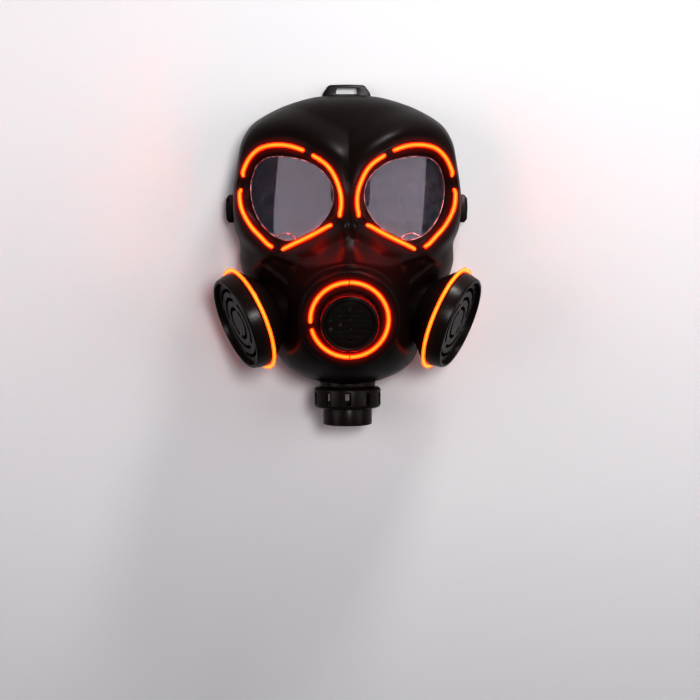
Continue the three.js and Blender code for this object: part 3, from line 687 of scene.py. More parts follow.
def net(rows, eye_offset, mouth_radius):
    """Plan points and triangles of the skin, and the places of its rim, eye and mouth rings."""
    grid = spokes(COLUMNS, rows)
    turns = np.arange(EYE_TURNS) / EYE_TURNS * 2 * np.pi
    right = eye_plan(turns, eye_at(turns) + eye_offset)
    left = (right * (-1, 1))[::-1]
    mouth = mouth_plan(mouth_radius, np.arange(MOUTH_TURNS) / MOUTH_TURNS * 2 * np.pi)
    rings = [grid[-1], right, left, mouth]
    free = []
    for row in grid[:-1]:
        gap = np.linalg.norm(row[1] - row[0])
        stride = 2 ** max(0, math.ceil(math.log2(0.8 / max(gap, 1e-3))))
        free.append(row[:: min(stride, 40)])
    free = np.concatenate(free)
    ex, ey = np.abs(free[:, 0]) - EYE_ACROSS, free[:, 1] - EYE_UP
    outside = np.hypot(ex, ey) > eye_at(np.arctan2(ey, ex)) + eye_offset + 0.8
    local = mouth_local(face_points(free))
    outside &= np.hypot(local[:, 0], local[:, 1]) > mouth_radius + 0.8
    plan = np.concatenate(rings + [free[outside]])
    edges, places, start = [], [], 0
    for ring in rings:
        ids = np.arange(len(ring)) + start
        places.append(ids)
        edges += list(zip(ids.tolist(), np.roll(ids, -1).tolist()))
        start += len(ring)
    flat = [Vector(p) for p in unrolled(plan).tolist()]
    _, _, found, origins, _, _ = delaunay_2d_cdt(flat, edges, [], 0, 1e-6, True)
    first = [o[0] for o in origins]
    ring_of = np.full(len(plan), -1)
    for i, ids in enumerate(places):
        ring_of[ids] = i
    triangles = []
    for face in found:
        ids = [first[i] for i in face]
        on = {int(ring_of[i]) for i in ids}
        if len(on) == 1 and on != {-1} and ordered(ids) != (on == {0}):
            continue
        triangles.append(tuple(ids))
    return plan, triangles, places


def point_normals(points, triangles):
    t = np.asarray(triangles)
    cross = np.cross(points[t[:, 1]] - points[t[:, 0]], points[t[:, 2]] - points[t[:, 0]])
    normals = np.zeros_like(points)
    for i in range(3):
        np.add.at(normals, t[:, i], cross)
    return normals / np.maximum(np.linalg.norm(normals, axis=1), 1e-12)[:, None]


def pushed_back(points, matrix, radius, top):
    """Points in front of a flat seat moved back onto it."""
    local = (points - matrix[:, 3]) @ matrix[:, :3]
    hit = (np.hypot(local[:, 0], local[:, 1]) < radius) & (local[:, 2] > top) & (local[:, 2] < 40)
    local[hit, 2] = top
    return on_frame(local, matrix)


def seats(points, depth):
    """The skin laid flat where the canisters and the outlet sit."""
    canister_top = -CANISTER_SHOULDER - CLEARANCE - depth
    for sign in (1, -1):
        side = points * (sign, 1, 1)
        side = pushed_back(side, canister_frame, CANISTER_SEAT_RADIUS, canister_top)
        points = side * (sign, 1, 1)
    return pushed_back(points, outlet_frame, OUTLET_SEAT_RADIUS, -OUTLET_BEAD - CLEARANCE - depth)


class Sheet:
    """Points and faces that grow piece by piece."""

    def __init__(self):
        self.points, self.faces, self.count = [], [], 0

    def add(self, points):
        ids = np.arange(len(points)) + self.count
        self.points.append(np.asarray(points, float))
        self.count += len(points)
        return ids

    def bridge(self, a, b):
        for j in range(len(a)):
            k = (j + 1) % len(a)
            self.faces.append((int(a[j]), int(a[k]), int(b[k]), int(b[j])))


def bevel_at(turns):
    """Width of the bevel from the wire in to the lens opening."""
    return eye_at(turns) - eye_at(turns, opening_table)


def groove(centre, half, depth, top):
    """Profile across a groove with rounded edges, from its outer edge to its inner one."""
    side = [(half + 0.35, top), (half + 0.1, top - 0.08), (half, top - 0.35), (half, -depth + 0.6)]
    side += [(half - 0.25, -depth + 0.15), (half - 0.8, -depth)]
    return [(centre + o, h) for o, h in side] + [(centre - o, h) for o, h in reversed(side)]


def eye_profile(turns):
    """Rings from the skin over the groove and down the bevel to the lens, then back inside."""
    width = bevel_at(turns)
    rings = [(o, h) for o, h in ((3.35, 0.05), (3.1, 0.22), (2.85, 0.36), (2.6, 0.42))]
    rings += groove(0, GROOVE_HALF, GROOVE_DEPTH, 0.38)[1:-2]
    rings += [(-GROOVE_HALF, -0.55), (-GROOVE_HALF - 0.12, -0.32), (-GROOVE_HALF - 0.4, -0.34)]
    for k in (0.12, 0.25, 0.4, 0.55, 0.7, 0.84, 0.93):
        sag = 0.35 * math.sin(math.pi * k)
        rings.append((-GROOVE_HALF - (width - GROOVE_HALF) * k, -0.3 - (BEVEL_DEPTH - 0.3) * k - sag))
    back = -BEVEL_DEPTH - LIP_THICKNESS
    rings += [(-width + 0.25, -BEVEL_DEPTH + 0.02), (-width + 0.05, -BEVEL_DEPTH - 0.12)]
    rings += [(-width, -BEVEL_DEPTH - 0.4), (-width, back + 0.25), (-width + 0.25, back)]
    rings += [(-width * 0.6 - 1, back), (-GROOVE_HALF, back + 0.05), (-0.6, -4.9), (1.2, -3.9), (2.6, -3.1)]
    return rings


def mouth_profile():
    """Radius and distance along the axis, from the flange's wall to the hole for the boss."""
    rings = [(FLANGE_RADIUS, -1.6), (FLANGE_RADIUS - 0.08, -1.0), (FLANGE_RADIUS - 0.35, -0.5)]
    rings += [(FLANGE_RADIUS - 0.8, -0.15), (FLANGE_RADIUS - 1.4, 0), (34, 0), (32.4, 0)]
    rings += groove(MOUTH_WIRE_RADIUS, GROOVE_HALF, GROOVE_DEPTH, 0)
    rings += [(24.6, 0), (HOLE_RADIUS + 0.5, 0), (HOLE_RADIUS + 0.12, -0.12), (HOLE_RADIUS, -0.5)]
    return rings + [(HOLE_RADIUS, -4), (HOLE_RADIUS, -9)]


def port(outer, inner, top, deepest, matrix, segments=96):
    """A boss with a bore, from its flat top down to the inside of the shell."""
    turn = np.arange(segments) / segments * 2 * np.pi

    def ring(radius, along):
        local = np.stack([radius * np.cos(turn), radius * np.sin(turn), np.zeros(segments) + along], -1)
        return on_frame(local, matrix)

    def end(radius):
        along = np.linspace(top - 2, deepest, 160)
        depth = []
        for a in along:
            p = ring(radius, a)
            gap = (face_height(p[:, 0], p[:, 1]) - p[:, 2]) * face_normals(p[:, :2])[:, 2]
            depth.append(gap > SHELL_WALL)
        depth = np.array(depth)
        return np.where(depth.any(0), along[depth.argmax(0)], deepest)

    ends = {outer: end(outer), inner: end(inner)}
    rings = [ring(outer, ends[outer]), ring(outer, top - 0.4), ring(outer - 0.4, top)]
    rings += [ring(inner + 0.4, top), ring(inner, top - 0.4), ring(inner, ends[inner])]
    points, faces = band(rings, is_loop=True)
    return points, facing_out(points, faces)


def in_bore(points, faces, matrix, radius, low, high):
    """Faces that would close a bore."""
    local = (points - matrix[:, 3]) @ matrix[:, :3]
    hit = np.hypot(local[:, 0], local[:, 1]) < radius
    hit &= (local[:, 2] > low) & (local[:, 2] < high)
    return {i for i, face in enumerate(faces) if all(hit[v] for v in face)}


def mask_shell():
    """The moulded shell: outer skin, inner skin, eye surrounds, mouth flange and ports."""
    sheet = Sheet()
    turns = np.arange(EYE_TURNS) / EYE_TURNS * 2 * np.pi
    plan, triangles, outer = net(ROWS, EYE_JOIN, FLANGE_RADIUS + MOUTH_JOIN)
    sheet.add(seats(face_points(plan), 0))
    sheet.faces += triangles

    inner_plan, inner_triangles, inner = net(INNER_ROWS, EYE_JOIN, HOLE_RADIUS + 1.5)
    skin = face_points(inner_plan)
    under = skin - point_normals(skin, inner_triangles) * SHELL_WALL
    under[inner[0], 2] = 0.5
    under = seats(under, SEAT_WALL)
    start = sheet.add(under)[0]
    sheet.faces += [tuple(int(i + start) for i in reversed(face)) for face in inner_triangles]
    inner = [ids + start for ids in inner]

    # Rim, rounded over the thickness of the wall
    outside, inside = face_points(plan[outer[0]]), under[inner[0] - start]
    last = sheet.add(outside * (1, 1, 0) + (0, 0, 0.35))
    sheet.points[0][outer[0], 2] = 0.9
    sheet.bridge(last, outer[0])
    for share, z in ((0.05, 0.1), (0.2, 0), (0.8, 0), (0.95, 0.1)):
        ring = sheet.add(outside + (inside - outside) * share * (1, 1, 0) + (0, 0, z))
        sheet.bridge(ring, last)
        last = ring
    sheet.bridge(inner[0], last)

    # Eye surrounds
    for sign, ring_id in ((1, 1), (-1, 2)):
        last = outer[ring_id]
        for offset, height in eye_profile(turns):
            ring = eye_ring(turns, eye_at(turns) + offset, height)
            ring = sheet.add(ring if sign > 0 else (ring * (-1, 1, 1))[::-1])
            sheet.bridge(last, ring)
            last = ring
        sheet.bridge(last, inner[ring_id])

    # Mouth flange with a fillet at its foot
    around = np.arange(MOUTH_TURNS) / MOUTH_TURNS * 2 * np.pi
    last = outer[3]
    for gap in (5.8, 4.6, 3.6, 2.9, 2.4, 1.9, 1.45, 1.05, 0.7, 0.42, 0.2, 0.06):
        local = mouth_local(face_points(mouth_plan(FLANGE_RADIUS + gap, around)))
        rise = FILLET - math.sqrt(FILLET**2 - max(FILLET - gap, 0) ** 2)
        local[:, 2] += rise
        ring = sheet.add(on_frame(local, mouth_frame))
        sheet.bridge(last, ring)
        last = ring
    for radius, along in mouth_profile():
        local = [(radius * math.cos(a), radius * math.sin(a), along) for a in around]
        ring = sheet.add(on_frame(local, mouth_frame))
        sheet.bridge(last, ring)
        last = ring
    sheet.bridge(last, inner[3])

    points = np.concatenate(sheet.points)
    shut = in_bore(points, sheet.faces, outlet_frame, 20.0, -40, 8)
    for sign in (1, -1):
        side = points * (sign, 1, 1)
        shut |= in_bore(side, sheet.faces, canister_frame, 19.5, -60, 0)
    faces = [face for i, face in enumerate(sheet.faces) if i not in shut]

    seat = -CANISTER_SHOULDER - CLEARANCE
    canister_port = port(PORT_RADIUS, CANISTER_NECK_RADIUS + CLEARANCE, seat, -55, canister_frame)
    seat = -OUTLET_BEAD - CLEARANCE
    outlet_boss = port(OUTLET_NECK_RADIUS, OUTLET_SPIGOT + CLEARANCE, seat, -30, outlet_frame)
    parts = [(points, faces, 0), (*outlet_boss, 0)]
    parts += on_side([(*canister_port, 0)], 1) + on_side([(*canister_port, 0)], -1)
    made("mask_shell", parts, [moulded])


# Eyes


def lens(side, sign):
    front = -BEVEL_DEPTH - LIP_THICKNESS - CLEARANCE
    turns = np.arange(LENS_TURNS) / LENS_TURNS * 2 * np.pi
    width = bevel_at(turns)
    rim = eye_at(turns) - width + np.minimum(LENS_OVERLAP, width / 2)

    def ring(share, height):
        return eye_ring(turns, rim * share, height)

    shares = [0.02, 0.06, 0.12, 0.2, 0.28, 0.36, 0.44, 0.52, 0.6, 0.68, 0.76, 0.84, 0.9, 0.95, 0.985]
    rings = [ring(s, front) for s in shares] + [ring(0.995, front - 0.1), ring(1, front - 0.35)]
    rings += [ring(1, front - LENS_THICKNESS + 0.35), ring(0.995, front - LENS_THICKNESS + 0.1)]
    rings += [ring(s, front - LENS_THICKNESS) for s in reversed(shares)]
    points, faces = band(rings)
    faces.append(tuple(range(LENS_TURNS))[::-1])
    faces.append(tuple(range(len(points) - LENS_TURNS, len(points))))
    # The bead round the lens's edge and the arc near its bottom carry a painted reflection of the wire's red
    # glow and the lamps
    edge = eye_ring(turns, eye_at(turns) - width - LENS_BEAD, front + 0.15)
    bead = sweep(edge, LENS_BEAD, 8, is_loop=True)
    a = np.radians(np.linspace(*LENS_REFLECTION_ARC_SPAN, 24))
    reflection_arc_plan = rays(a) * (1, 0.8) * LENS_REFLECTION_ARC_RADIUS + LENS_REFLECTION_ARC_CENTRE
    reflection_arc = sweep(face_points(reflection_arc_plan) + face_normals(reflection_arc_plan) * front, LENS_REFLECTION_ARC, 10)
    parts = on_side([(points, facing_out(points, faces), 0), (*bead, 1), (*reflection_arc, 1)], sign)
    made("lens_" + side, parts, [clear_plastic, painted_reflection])


def glowing(path):
    """A length of glowing wire: a translucent jacket and a bright core."""
    core = [(*sweep(path, CORE_RADIUS, 12), 1)]
    jacket = [(*sweep(path, WIRE_RADIUS, 20), 0)]
    return core + jacket


def eye_wire(side, sign, name):
    start, end = EYE_WIRES[name]
    inset = math.degrees(WIRE_RADIUS / MEAN_EYE_REACH)
    turns = np.radians(np.linspace(start + inset, end - inset, WIRE_STEPS))
    along = np.linspace(0, 1, WIRE_STEPS)
    from_end = np.minimum(along, along[::-1]) * np.radians(end - start) * MEAN_EYE_REACH
    height = WIRE_LIFT - END_DIVE * (1 - smooth(from_end / END_DIVE_LENGTH))
    path = eye_ring(turns, eye_at(turns), height[:, None])
    made(f"eye_wire_{side}_{name}", on_side(glowing(path), sign), [jacket_glow, core_glow])


# Mouth


def arc(radius, start, end, along, steps, matrix):
    a = np.radians(np.linspace(start, end, steps))
    return on_frame(np.stack([radius * np.cos(a), radius * np.sin(a), np.zeros(steps) + along], -1), matrix)


def speech_boss():
    inner = SPEECH_RADIUS - SPEECH_WALL
    grille = SPEECH_RADIUS - GRILLE_INSET
    seat = SPEECH_PROUD - GRILLE_RECESS - GRILLE_THICKNESS - CLEARANCE
    profile = [
        (SPEECH_RADIUS, -SPEECH_INSET),
        (SPEECH_RADIUS, SPEECH_PROUD - 2),
        (SPEECH_RADIUS - 2, SPEECH_PROUD),
        (grille, SPEECH_PROUD - 0.8),
        (grille, seat),
        (grille - 1.6, seat),
        (grille - 1.6, seat - 2),
        (inner, seat - 4),
        (inner, -SPEECH_INSET),
    ]
    parts = [(*turned(profile, 144, mouth_frame, 0.7, 4), 0)]
    made("speech_boss", parts, [moulded])


def speech_grille():
    radius = SPEECH_RADIUS - GRILLE_INSET - CLEARANCE
    loops = [circle(radius, count=96)]
    column = SPEECH_HOLE_PITCH * math.cos(math.radians(30))
    for i in range(-2, 3):
        for j in range(-2, 3):
            y = (j + (0 if i % 2 else 0.5)) * SPEECH_HOLE_PITCH
            if math.hypot(i * column, y) <= radius - 2 * SPEECH_HOLE_RADIUS:
                loops.append(circle(SPEECH_HOLE_RADIUS, (i * column, y)))
    start = SPEECH_PROUD - GRILLE_RECESS - GRILLE_THICKNESS
    parts = [(*plate(loops, start, GRILLE_THICKNESS, 0.3, mouth_frame), 0)]
    made("speech_grille", parts, [gloss])


def mouth_wire():
    inset = math.degrees(WIRE_RADIUS / MOUTH_WIRE_RADIUS)
    start, end = MOUTH_WIRE_SPAN
    path = arc(MOUTH_WIRE_RADIUS, start + inset, end - inset, WIRE_LIFT, 160, mouth_frame)
    parts = glowing(path)
    for turn in np.radians(TIE_TURNS):
        across, along = np.array(circle(WIRE_RADIUS)).T
        reach = MOUTH_WIRE_RADIUS + across
        tie = np.stack([reach * np.cos(turn), reach * np.sin(turn), along + WIRE_LIFT], -1)
        parts.append((*sweep(on_frame(tie, mouth_frame), TIE_THICKNESS, 8, is_loop=True), 2))
    made("mouth_wire", parts, [jacket_glow, core_glow, gloss])


# Canisters

BAND_RADIUS = CANISTER_WIRE_RADIUS - WIRE_RADIUS - CLEARANCE


def canister_body(side, sign):
    shoulder = -CANISTER_SHOULDER
    inner = CANISTER_NECK_RADIUS - CANISTER_WALL
    profile = [
        (CANISTER_NECK_RADIUS, shoulder - CANISTER_NECK),
        (CANISTER_NECK_RADIUS, shoulder),
        (CANISTER_SHOULDER_RADIUS, shoulder),
        (BAND_RADIUS, -3),
        (BAND_RADIUS, WIRE_RADIUS),
        (BAND_RADIUS - CANISTER_WALL, WIRE_RADIUS),
        (BAND_RADIUS - CANISTER_WALL, -3.4),
        (CANISTER_SHOULDER_RADIUS - 1, shoulder + 3.4),
        (inner, shoulder + 2.4),
        (inner, shoulder - CANISTER_NECK),
    ]
    parts = on_side([(*turned(profile, 160, canister_frame, 1.2, 4), 0)], sign)
    made("canister_body_" + side, parts, [gloss])


def canister_cap(side, sign):
    back = WIRE_RADIUS + CLEARANCE
    inner = CANISTER_FACE_RADIUS - CANISTER_WALL
    seat = CANISTER_FACE - VENT_RECESS - VENT_THICKNESS - CLEARANCE
    profile = [
        (BAND_RADIUS + 0.3, back),
        (CANISTER_FACE_RADIUS + 0.7, CANISTER_FACE - 1),
        (CANISTER_FACE_RADIUS - 0.2, CANISTER_FACE),
        (inner, CANISTER_FACE),
        (inner, seat),
        (inner - 2.4, seat),
        (inner - 2.4, seat - 1.6),
        (BAND_RADIUS - CANISTER_WALL, back),
    ]
    parts = on_side([(*turned(profile, 160, canister_frame, 0.5, 3), 0)], sign)
    made("canister_cap_" + side, parts, [gloss])


def canister_vent(side, sign):
    radius = CANISTER_FACE_RADIUS - CANISTER_WALL - 2 * CLEARANCE
    loops = [circle(radius, count=120)]
    for share, count, turn in ((0.82, 4, 45), (0.6, 3, 0), (0.36, 2, 90)):
        middle_radius = share * radius
        span = 360 / count - VENT_GAP
        for i in range(count):
            middle = turn + i * 360 / count
            a = np.radians(np.linspace(middle - span / 2, middle + span / 2, 30))
            outer = rays(a) * (middle_radius + VENT_SLOT / 2)
            inner = rays(a)[::-1] * (middle_radius - VENT_SLOT / 2)
            loops.append(np.concatenate([outer, inner]).tolist())
    start = CANISTER_FACE - VENT_RECESS - VENT_THICKNESS
    parts = on_side([(*plate(loops, start, VENT_THICKNESS, 0.35, canister_frame), 0)], sign)
    made("canister_vent_" + side, parts, [gloss], PLATE_EDGE_ANGLE)


def canister_wire(side, sign):
    path = arc(CANISTER_WIRE_RADIUS, *CANISTER_WIRE_SPAN, 0, 180, canister_frame)
    made("canister_wire_" + side, on_side(glowing(path), sign), [jacket_dim, core_dim])


# Outlet


def outlet_neck():
    profile = [
        (OUTLET_SPIGOT, -OUTLET_BEAD - OUTLET_SPIGOT_LENGTH),
        (OUTLET_SPIGOT, -OUTLET_BEAD),
        (OUTLET_BEAD_RADIUS, -OUTLET_BEAD),
        (OUTLET_BEAD_RADIUS, -CLEARANCE),
        (OUTLET_BORE, -CLEARANCE),
        (OUTLET_BORE, -OUTLET_BEAD - OUTLET_SPIGOT_LENGTH),
    ]
    parts = [(*turned(profile, 128, outlet_frame, 1.6, 6), 0)]
    made("outlet_neck", parts, [gloss])


BLOCK_FACES = [(0, 1, 3, 2), (4, 6, 7, 5), (0, 4, 5, 1), (2, 3, 7, 6), (0, 2, 6, 4), (1, 5, 7, 3)]


def plain_object(name, parts):
    points, faces, start = [], [], 0
    for part_points, part_faces in parts:
        points.append(part_points)
        faces += [tuple(int(i) + start for i in face) for face in part_faces]
        start += len(part_points)
    mesh = bpy.data.meshes.new(name)
    mesh.from_pydata(np.concatenate(points).tolist(), [], faces)
    return bpy.data.objects.new(name, mesh)


def outlet_collar():
    inner = COLLAR_RADIUS - COLLAR_WALL
    mouth = TUBE_RADIUS - TUBE_WALL + CLEARANCE
    profile = [
        (mouth, COLLAR_HEIGHT),
        (mouth, COLLAR_SLOT_BOTTOM + 0.6),
        (inner, COLLAR_SLOT_BOTTOM + 0.6),
        (inner, COLLAR_SLOT_TOP - 1.5),
        (OUTLET_BORE, COLLAR_SLOT_TOP - 1.5),
        (OUTLET_BORE, 0),
        (COLLAR_RADIUS - 1.6, 0),
        (COLLAR_RADIUS, 1.4),
        (COLLAR_RADIUS, COLLAR_HEIGHT - 2.6),
        (COLLAR_RADIUS - 0.8, COLLAR_HEIGHT - 0.8),
        (COLLAR_RADIUS - 2.6, COLLAR_HEIGHT),
    ]
    whole = plain_object("collar", [turned(profile, 120, outlet_frame, 0.35, 3)])
    middle = (COLLAR_SLOT_TOP + COLLAR_SLOT_BOTTOM) / 2
    size = (2 * COLLAR_WALL, COLLAR_SLOT_WIDTH, COLLAR_SLOT_BOTTOM - COLLAR_SLOT_TOP)
    corners = np.array([(x, y, z) for x in (-0.5, 0.5) for y in (-0.5, 0.5) for z in (-0.5, 0.5)]) * size
    blocks = []
    for i in range(COLLAR_SLOTS):
        turn = i / COLLAR_SLOTS * 2 * math.pi - math.pi / 2
        out = np.array([math.cos(turn), math.sin(turn), 0])
        aside = np.array([-math.sin(turn), math.cos(turn), 0])
        local = corners[:, :1] * out + corners[:, 1:2] * aside + corners[:, 2:] * np.array([0, 0, 1])
        local = local + out * (COLLAR_RADIUS - COLLAR_WALL / 2) + (0, 0, middle)
        points = on_frame(local, outlet_frame)
        blocks.append((points, facing_out(points, BLOCK_FACES)))
    cutter = plain_object("slots", blocks)
    bpy.context.scene.collection.objects.link(cutter)
    cut = whole.modifiers.new("slots", "BOOLEAN")
    cut.operation = "DIFFERENCE"
    cut.object = cutter
    cut.solver = "EXACT"
    edges = whole.modifiers.new("edges", "BEVEL")
    edges.width = 0.25
    edges.segments = 2
    edges.limit_method = "ANGLE"
    edges.angle_limit = math.radians(50)
    points, faces = taken_out(whole)
    bpy.data.objects.remove(cutter)
    made("outlet_collar", [(points, faces, 0)], [gloss])


def outlet_tube():
    inner = TUBE_RADIUS - TUBE_WALL
    spigot_top = COLLAR_SLOT_BOTTOM + 0.9
    profile = [
        (inner, spigot_top),
        (inner, COLLAR_HEIGHT + CLEARANCE),
        (TUBE_RADIUS, COLLAR_HEIGHT + CLEARANCE),
        (TUBE_RADIUS, TUBE_END - 0.6),
        (TUBE_RADIUS - 0.6, TUBE_END),
        (inner + 0.4, TUBE_END),
        (inner, TUBE_END - 1),
        (inner, COLLAR_HEIGHT + 4),
        (inner - 2.4, COLLAR_HEIGHT + 1.6),
        (inner - 2.4, spigot_top),
    ]
    parts = [(*turned(profile, 128, outlet_frame, 0.4, 3), 0)]
    made("outlet_tube", parts, [gloss])


# Strap fittings


def crown_loop():
    z = LOOP_HEIGHT + LOOP_THICKNESS / 2

    def foot(x):
        return wall_reach(math.atan2(CROWN_RISE, x), z) * math.sin(math.atan2(CROWN_RISE, x)) + CLEARANCE

    xs = [LOOP_BASE * (i / 12 - 0.5) for i in range(13)]
    top = crown_y + LOOP_RISE
    outline = [(x, foot(x)) for x in xs]
    outline += [
        (LOOP_BASE / 2 - 0.8, crown_y + 2.6),
        (LOOP_TOP / 2, top - 1.2),
        (LOOP_TOP / 2 - 2, top - 0.3),
        (0, top),
        (2 - LOOP_TOP / 2, top - 0.3),
        (-LOOP_TOP / 2, top - 1.2),
        (0.8 - LOOP_BASE / 2, crown_y + 2.6),
    ]
    half, low = LOOP_SLOT_WIDTH / 2, crown_y + LOOP_SLOT_LIFT
    high = low + LOOP_SLOT_HEIGHT
    slot = [(-half, low), (1 - half, high), (half - 1, high), (half, low)]
    upright = np.eye(3, 4)
    parts = [(*plate([outline, slot], LOOP_HEIGHT, LOOP_THICKNESS, 0.45, upright), 0)]
    made("crown_strap_loop", parts, [gloss])


def strap_clip(side, sign):
    half = CLIP_LENGTH / 2

    def foot(y):
        angle = math.atan2(y, HALF_WIDTH)
        return wall_reach(angle, CLIP_HEIGHT + CLIP_DEPTH) * math.cos(angle) + CLEARANCE + 0.4

    outer = foot(CLIP_UP) + CLIP_PROUD
    outline = [
        (foot(CLIP_UP - half), CLIP_UP - half),
        (outer - 2.4, CLIP_UP - half),
        (outer - 0.4, CLIP_UP - half + 2.6),
        (outer, CLIP_UP),
        (outer - 0.4, CLIP_UP + half - 2.6),
        (outer - 2.4, CLIP_UP + half),
        (foot(CLIP_UP + half), CLIP_UP + half),
        (foot(CLIP_UP), CLIP_UP),
    ]
    parts = on_side([(*plate([outline], CLIP_HEIGHT, CLIP_DEPTH, 0.5, np.eye(3, 4)), 0)], sign)
    made("strap_clip_" + side, parts, [gloss])


# Materials


class Flow:
    """A value flowing out of a shader node, which can be used in sums."""

    def __init__(self, tree, socket=None):
        self.tree, self.socket = tree, socket

    def node(self, kind, settings=None, inputs=None, output=0):
        """Adds a node with its settings and inputs, and hands back one of its outputs."""
        made_node = self.tree.nodes.new(kind)
        for name, value in (settings or {}).items():
            setattr(made_node, name, value)
        for place, value in (inputs or {}).items():
            if isinstance(value, Flow):
                self.tree.links.new(value.socket, made_node.inputs[place])
            else:
                made_node.inputs[place].default_value = value
        return Flow(self.tree, made_node.outputs[output] if made_node.outputs else None)

    def sum(self, operation, a, b):
        return self.node("ShaderNodeMath", {"operation": operation}, {0: a, 1: b})

    def __add__(self, other):
        return self.sum("ADD", self, other)

    def __mul__(self, other):
        return self.sum("MULTIPLY", self, other)

    __radd__ = __add__
    __rmul__ = __mul__

    def noise(self, scale, detail=2.0, roughness=0.5):
        """Soft noise between 0 and 1 at a scale per metre."""
        inputs = {"Vector": self, "Scale": scale, "Detail": detail, "Roughness": roughness}
        return self.node("ShaderNodeTexNoise", None, inputs)

    def between(self, low, high):
        """0 below low and 1 above high."""
        inputs = {"Value": self, "From Min": low, "From Max": high}
        return self.node("ShaderNodeMapRange", {"clamp": True}, inputs)

    def blend(self, a, b):
        """Colour a where this is 0 and b where it is 1."""
        return self.node("ShaderNodeMix", {"data_type": "RGBA"}, {0: self, 6: a, 7: b}, 2)

    def bump(self, strength, distance):
        inputs = {"Height": self, "Strength": strength, "Distance": distance}
        return self.node("ShaderNodeBump", None, inputs)


def material(name):
    """A new material with its surface node and the place on the object."""
    new = bpy.data.materials.new(name)
    new.use_nodes = True
    new.node_tree.nodes.clear()
    flow = Flow(new.node_tree)
    place = flow.node("ShaderNodeTexCoord", output=3)
    return new, place


def finished(new, flow, inputs):
    """Ends a material in a Principled surface."""
    surface = flow.node("ShaderNodeBsdfPrincipled", None, inputs)
    flow.node("ShaderNodeOutputMaterial", None, {"Surface": surface})
    return new


def black_plastic(name, dark, light, rough, spread, grain, specular):
    """Black plastic with a faint cloudiness, fine grain and rubbed patches."""
    new, place = material(name)
    cloud = place.noise(24, 4, 0.6)
    rub = place.noise(95, 5, 0.65).between(0.42, 0.72)
    scuff = place.noise(420, 3, 0.6).between(0.6, 0.8)
    colour = cloud.blend((*dark, 1), (*light, 1))
    roughness = rough + rub * spread + scuff * 0.03
    fine = place.noise(2600, 2, 0.5) + place.noise(700, 2, 0.5) * 0.6
    inputs = {
        "Base Color": colour,
        "Roughness": roughness,
        "Specular IOR Level": specular,
        "Normal": fine.bump(grain, 0.00012),
    }
    return finished(new, place, inputs)


def glow(name, colour, base, alpha):
    """Glowing plastic, a little uneven along its length."""
    new, place = material(name)
    uneven = place.noise(60, 2, 0.5).between(0.25, 0.75)
    weak, full = [(*[c * share for c in colour], 1) for share in (0.82, 1.12)]
    inputs = {
        "Base Color": (*base, 1),
        "Roughness": uneven * 0.1 + 0.25,
        "Emission Color": uneven.blend(weak, full),
        "Emission Strength": 1.0,
        "Specular IOR Level": 0.1,
        "Alpha": alpha,
    }
    return finished(new, place, inputs)


def clear_sheet(name):
    """Clear plastic with a light haze and hairline scratches."""
    new, place = material(name)
    haze = place.noise(230, 5, 0.7).between(0.4, 0.75)
    turned_place = {"Vector": place, "Scale": (1, 9, 1), "Rotation": (0, 0, 0.5)}
    stretched = place.node("ShaderNodeMapping", None, turned_place)
    hair = stretched.noise(260, 2, 0.5).between(0.62, 0.7)
    inputs = {
        "Base Color": haze.blend((0.3, 0.31, 0.4, 1), (0.4, 0.4, 0.48, 1)),
        "Roughness": haze * 0.05 + hair * 0.06 + 0.015,
        "IOR": 1.49,
        "Transmission Weight": 1.0,
    }
    clear = place.node("ShaderNodeBsdfPrincipled", None, inputs)
    milk = place.node(
        "ShaderNodeBsdfPrincipled", None, {"Base Color": (0.75, 0.76, 0.82, 1), "Roughness": 0.4}
    )
    cover = haze * 0.055 + hair * 0.06 + 0.012
    mixed = place.node("ShaderNodeMixShader", None, {0: cover, 1: clear, 2: milk})
    place.node("ShaderNodeOutputMaterial", None, {"Surface": mixed})
    return new


def painted_reflection_sheet(name):
    """A painted reflection: a patchy pinkish red colour standing in for the wire's red glow and the lamps
    reflected at the lens's edge.
    """
    new, place = material(name)
    reflection_patches = place.noise(150, 4, 0.6).between(0.38, 0.66)
    inputs = {
        # Painted reflection: pinkish red, brighter and more opaque in patches
        "Base Color": reflection_patches.blend((0.5, 0.15, 0.17, 1), (0.85, 0.4, 0.42, 1)),
        "Roughness": reflection_patches * 0.15 + 0.2,
        "Alpha": reflection_patches * 0.55 + 0.25,
    }
    return finished(new, place, inputs)


def pale_floor():
    new, place = material("pale_floor")
    cloud = place.noise(3, 2, 0.5)
    colour = cloud.blend((0.5, 0.5, 0.496, 1), (0.525, 0.525, 0.521, 1))
    return finished(new, place, {"Base Color": colour, "Roughness": 0.6})


canister_frame = side_frame(1)

moulded = black_plastic(
    "moulded_black", (0.0066, 0.0038, 0.0032), (0.0098, 0.0053, 0.0044), 0.3, 0.08, 0.2, 0.075
)
gloss = black_plastic("gloss_black", (0.0075, 0.0048, 0.0038), (0.011, 0.0072, 0.006), 0.27, 0.09, 0.1, 0.15)
clear_plastic = clear_sheet("clear_lens")
# The lens's edge bead and arc get a painted reflection of the wire's red glow
painted_reflection = painted_reflection_sheet("painted_reflection_edge")
core_glow = glow("wire_core", (240.0, 0.85, 0.11), (0.3, 0.1, 0.02), 1.0)
jacket_glow = glow("wire_jacket", (1.15, 0.34, 0.03), (0.2, 0.03, 0.005), 0.5)
core_dim = glow("canister_wire_core", (30.0, 1.0, 0.13), (0.3, 0.1, 0.02), 1.0)
jacket_dim = glow("canister_wire_jacket", (1.15, 0.36, 0.03), (0.2, 0.03, 0.005), 0.5)


# Pieces

mask_shell()
crown_loop()
speech_boss()
speech_grille()
mouth_wire()
outlet_neck()
outlet_collar()
outlet_tube()
for side_name, side_sign in SIDES.items():
    strap_clip(side_name, side_sign)
    lens(side_name, side_sign)
    for wire_name in EYE_WIRES:
        eye_wire(side_name, side_sign, wire_name)
    canister_body(side_name, side_sign)
    canister_cap(side_name, side_sign)
    canister_vent(side_name, side_sign)
    canister_wire(side_name, side_sign)


# Floor, light and camera


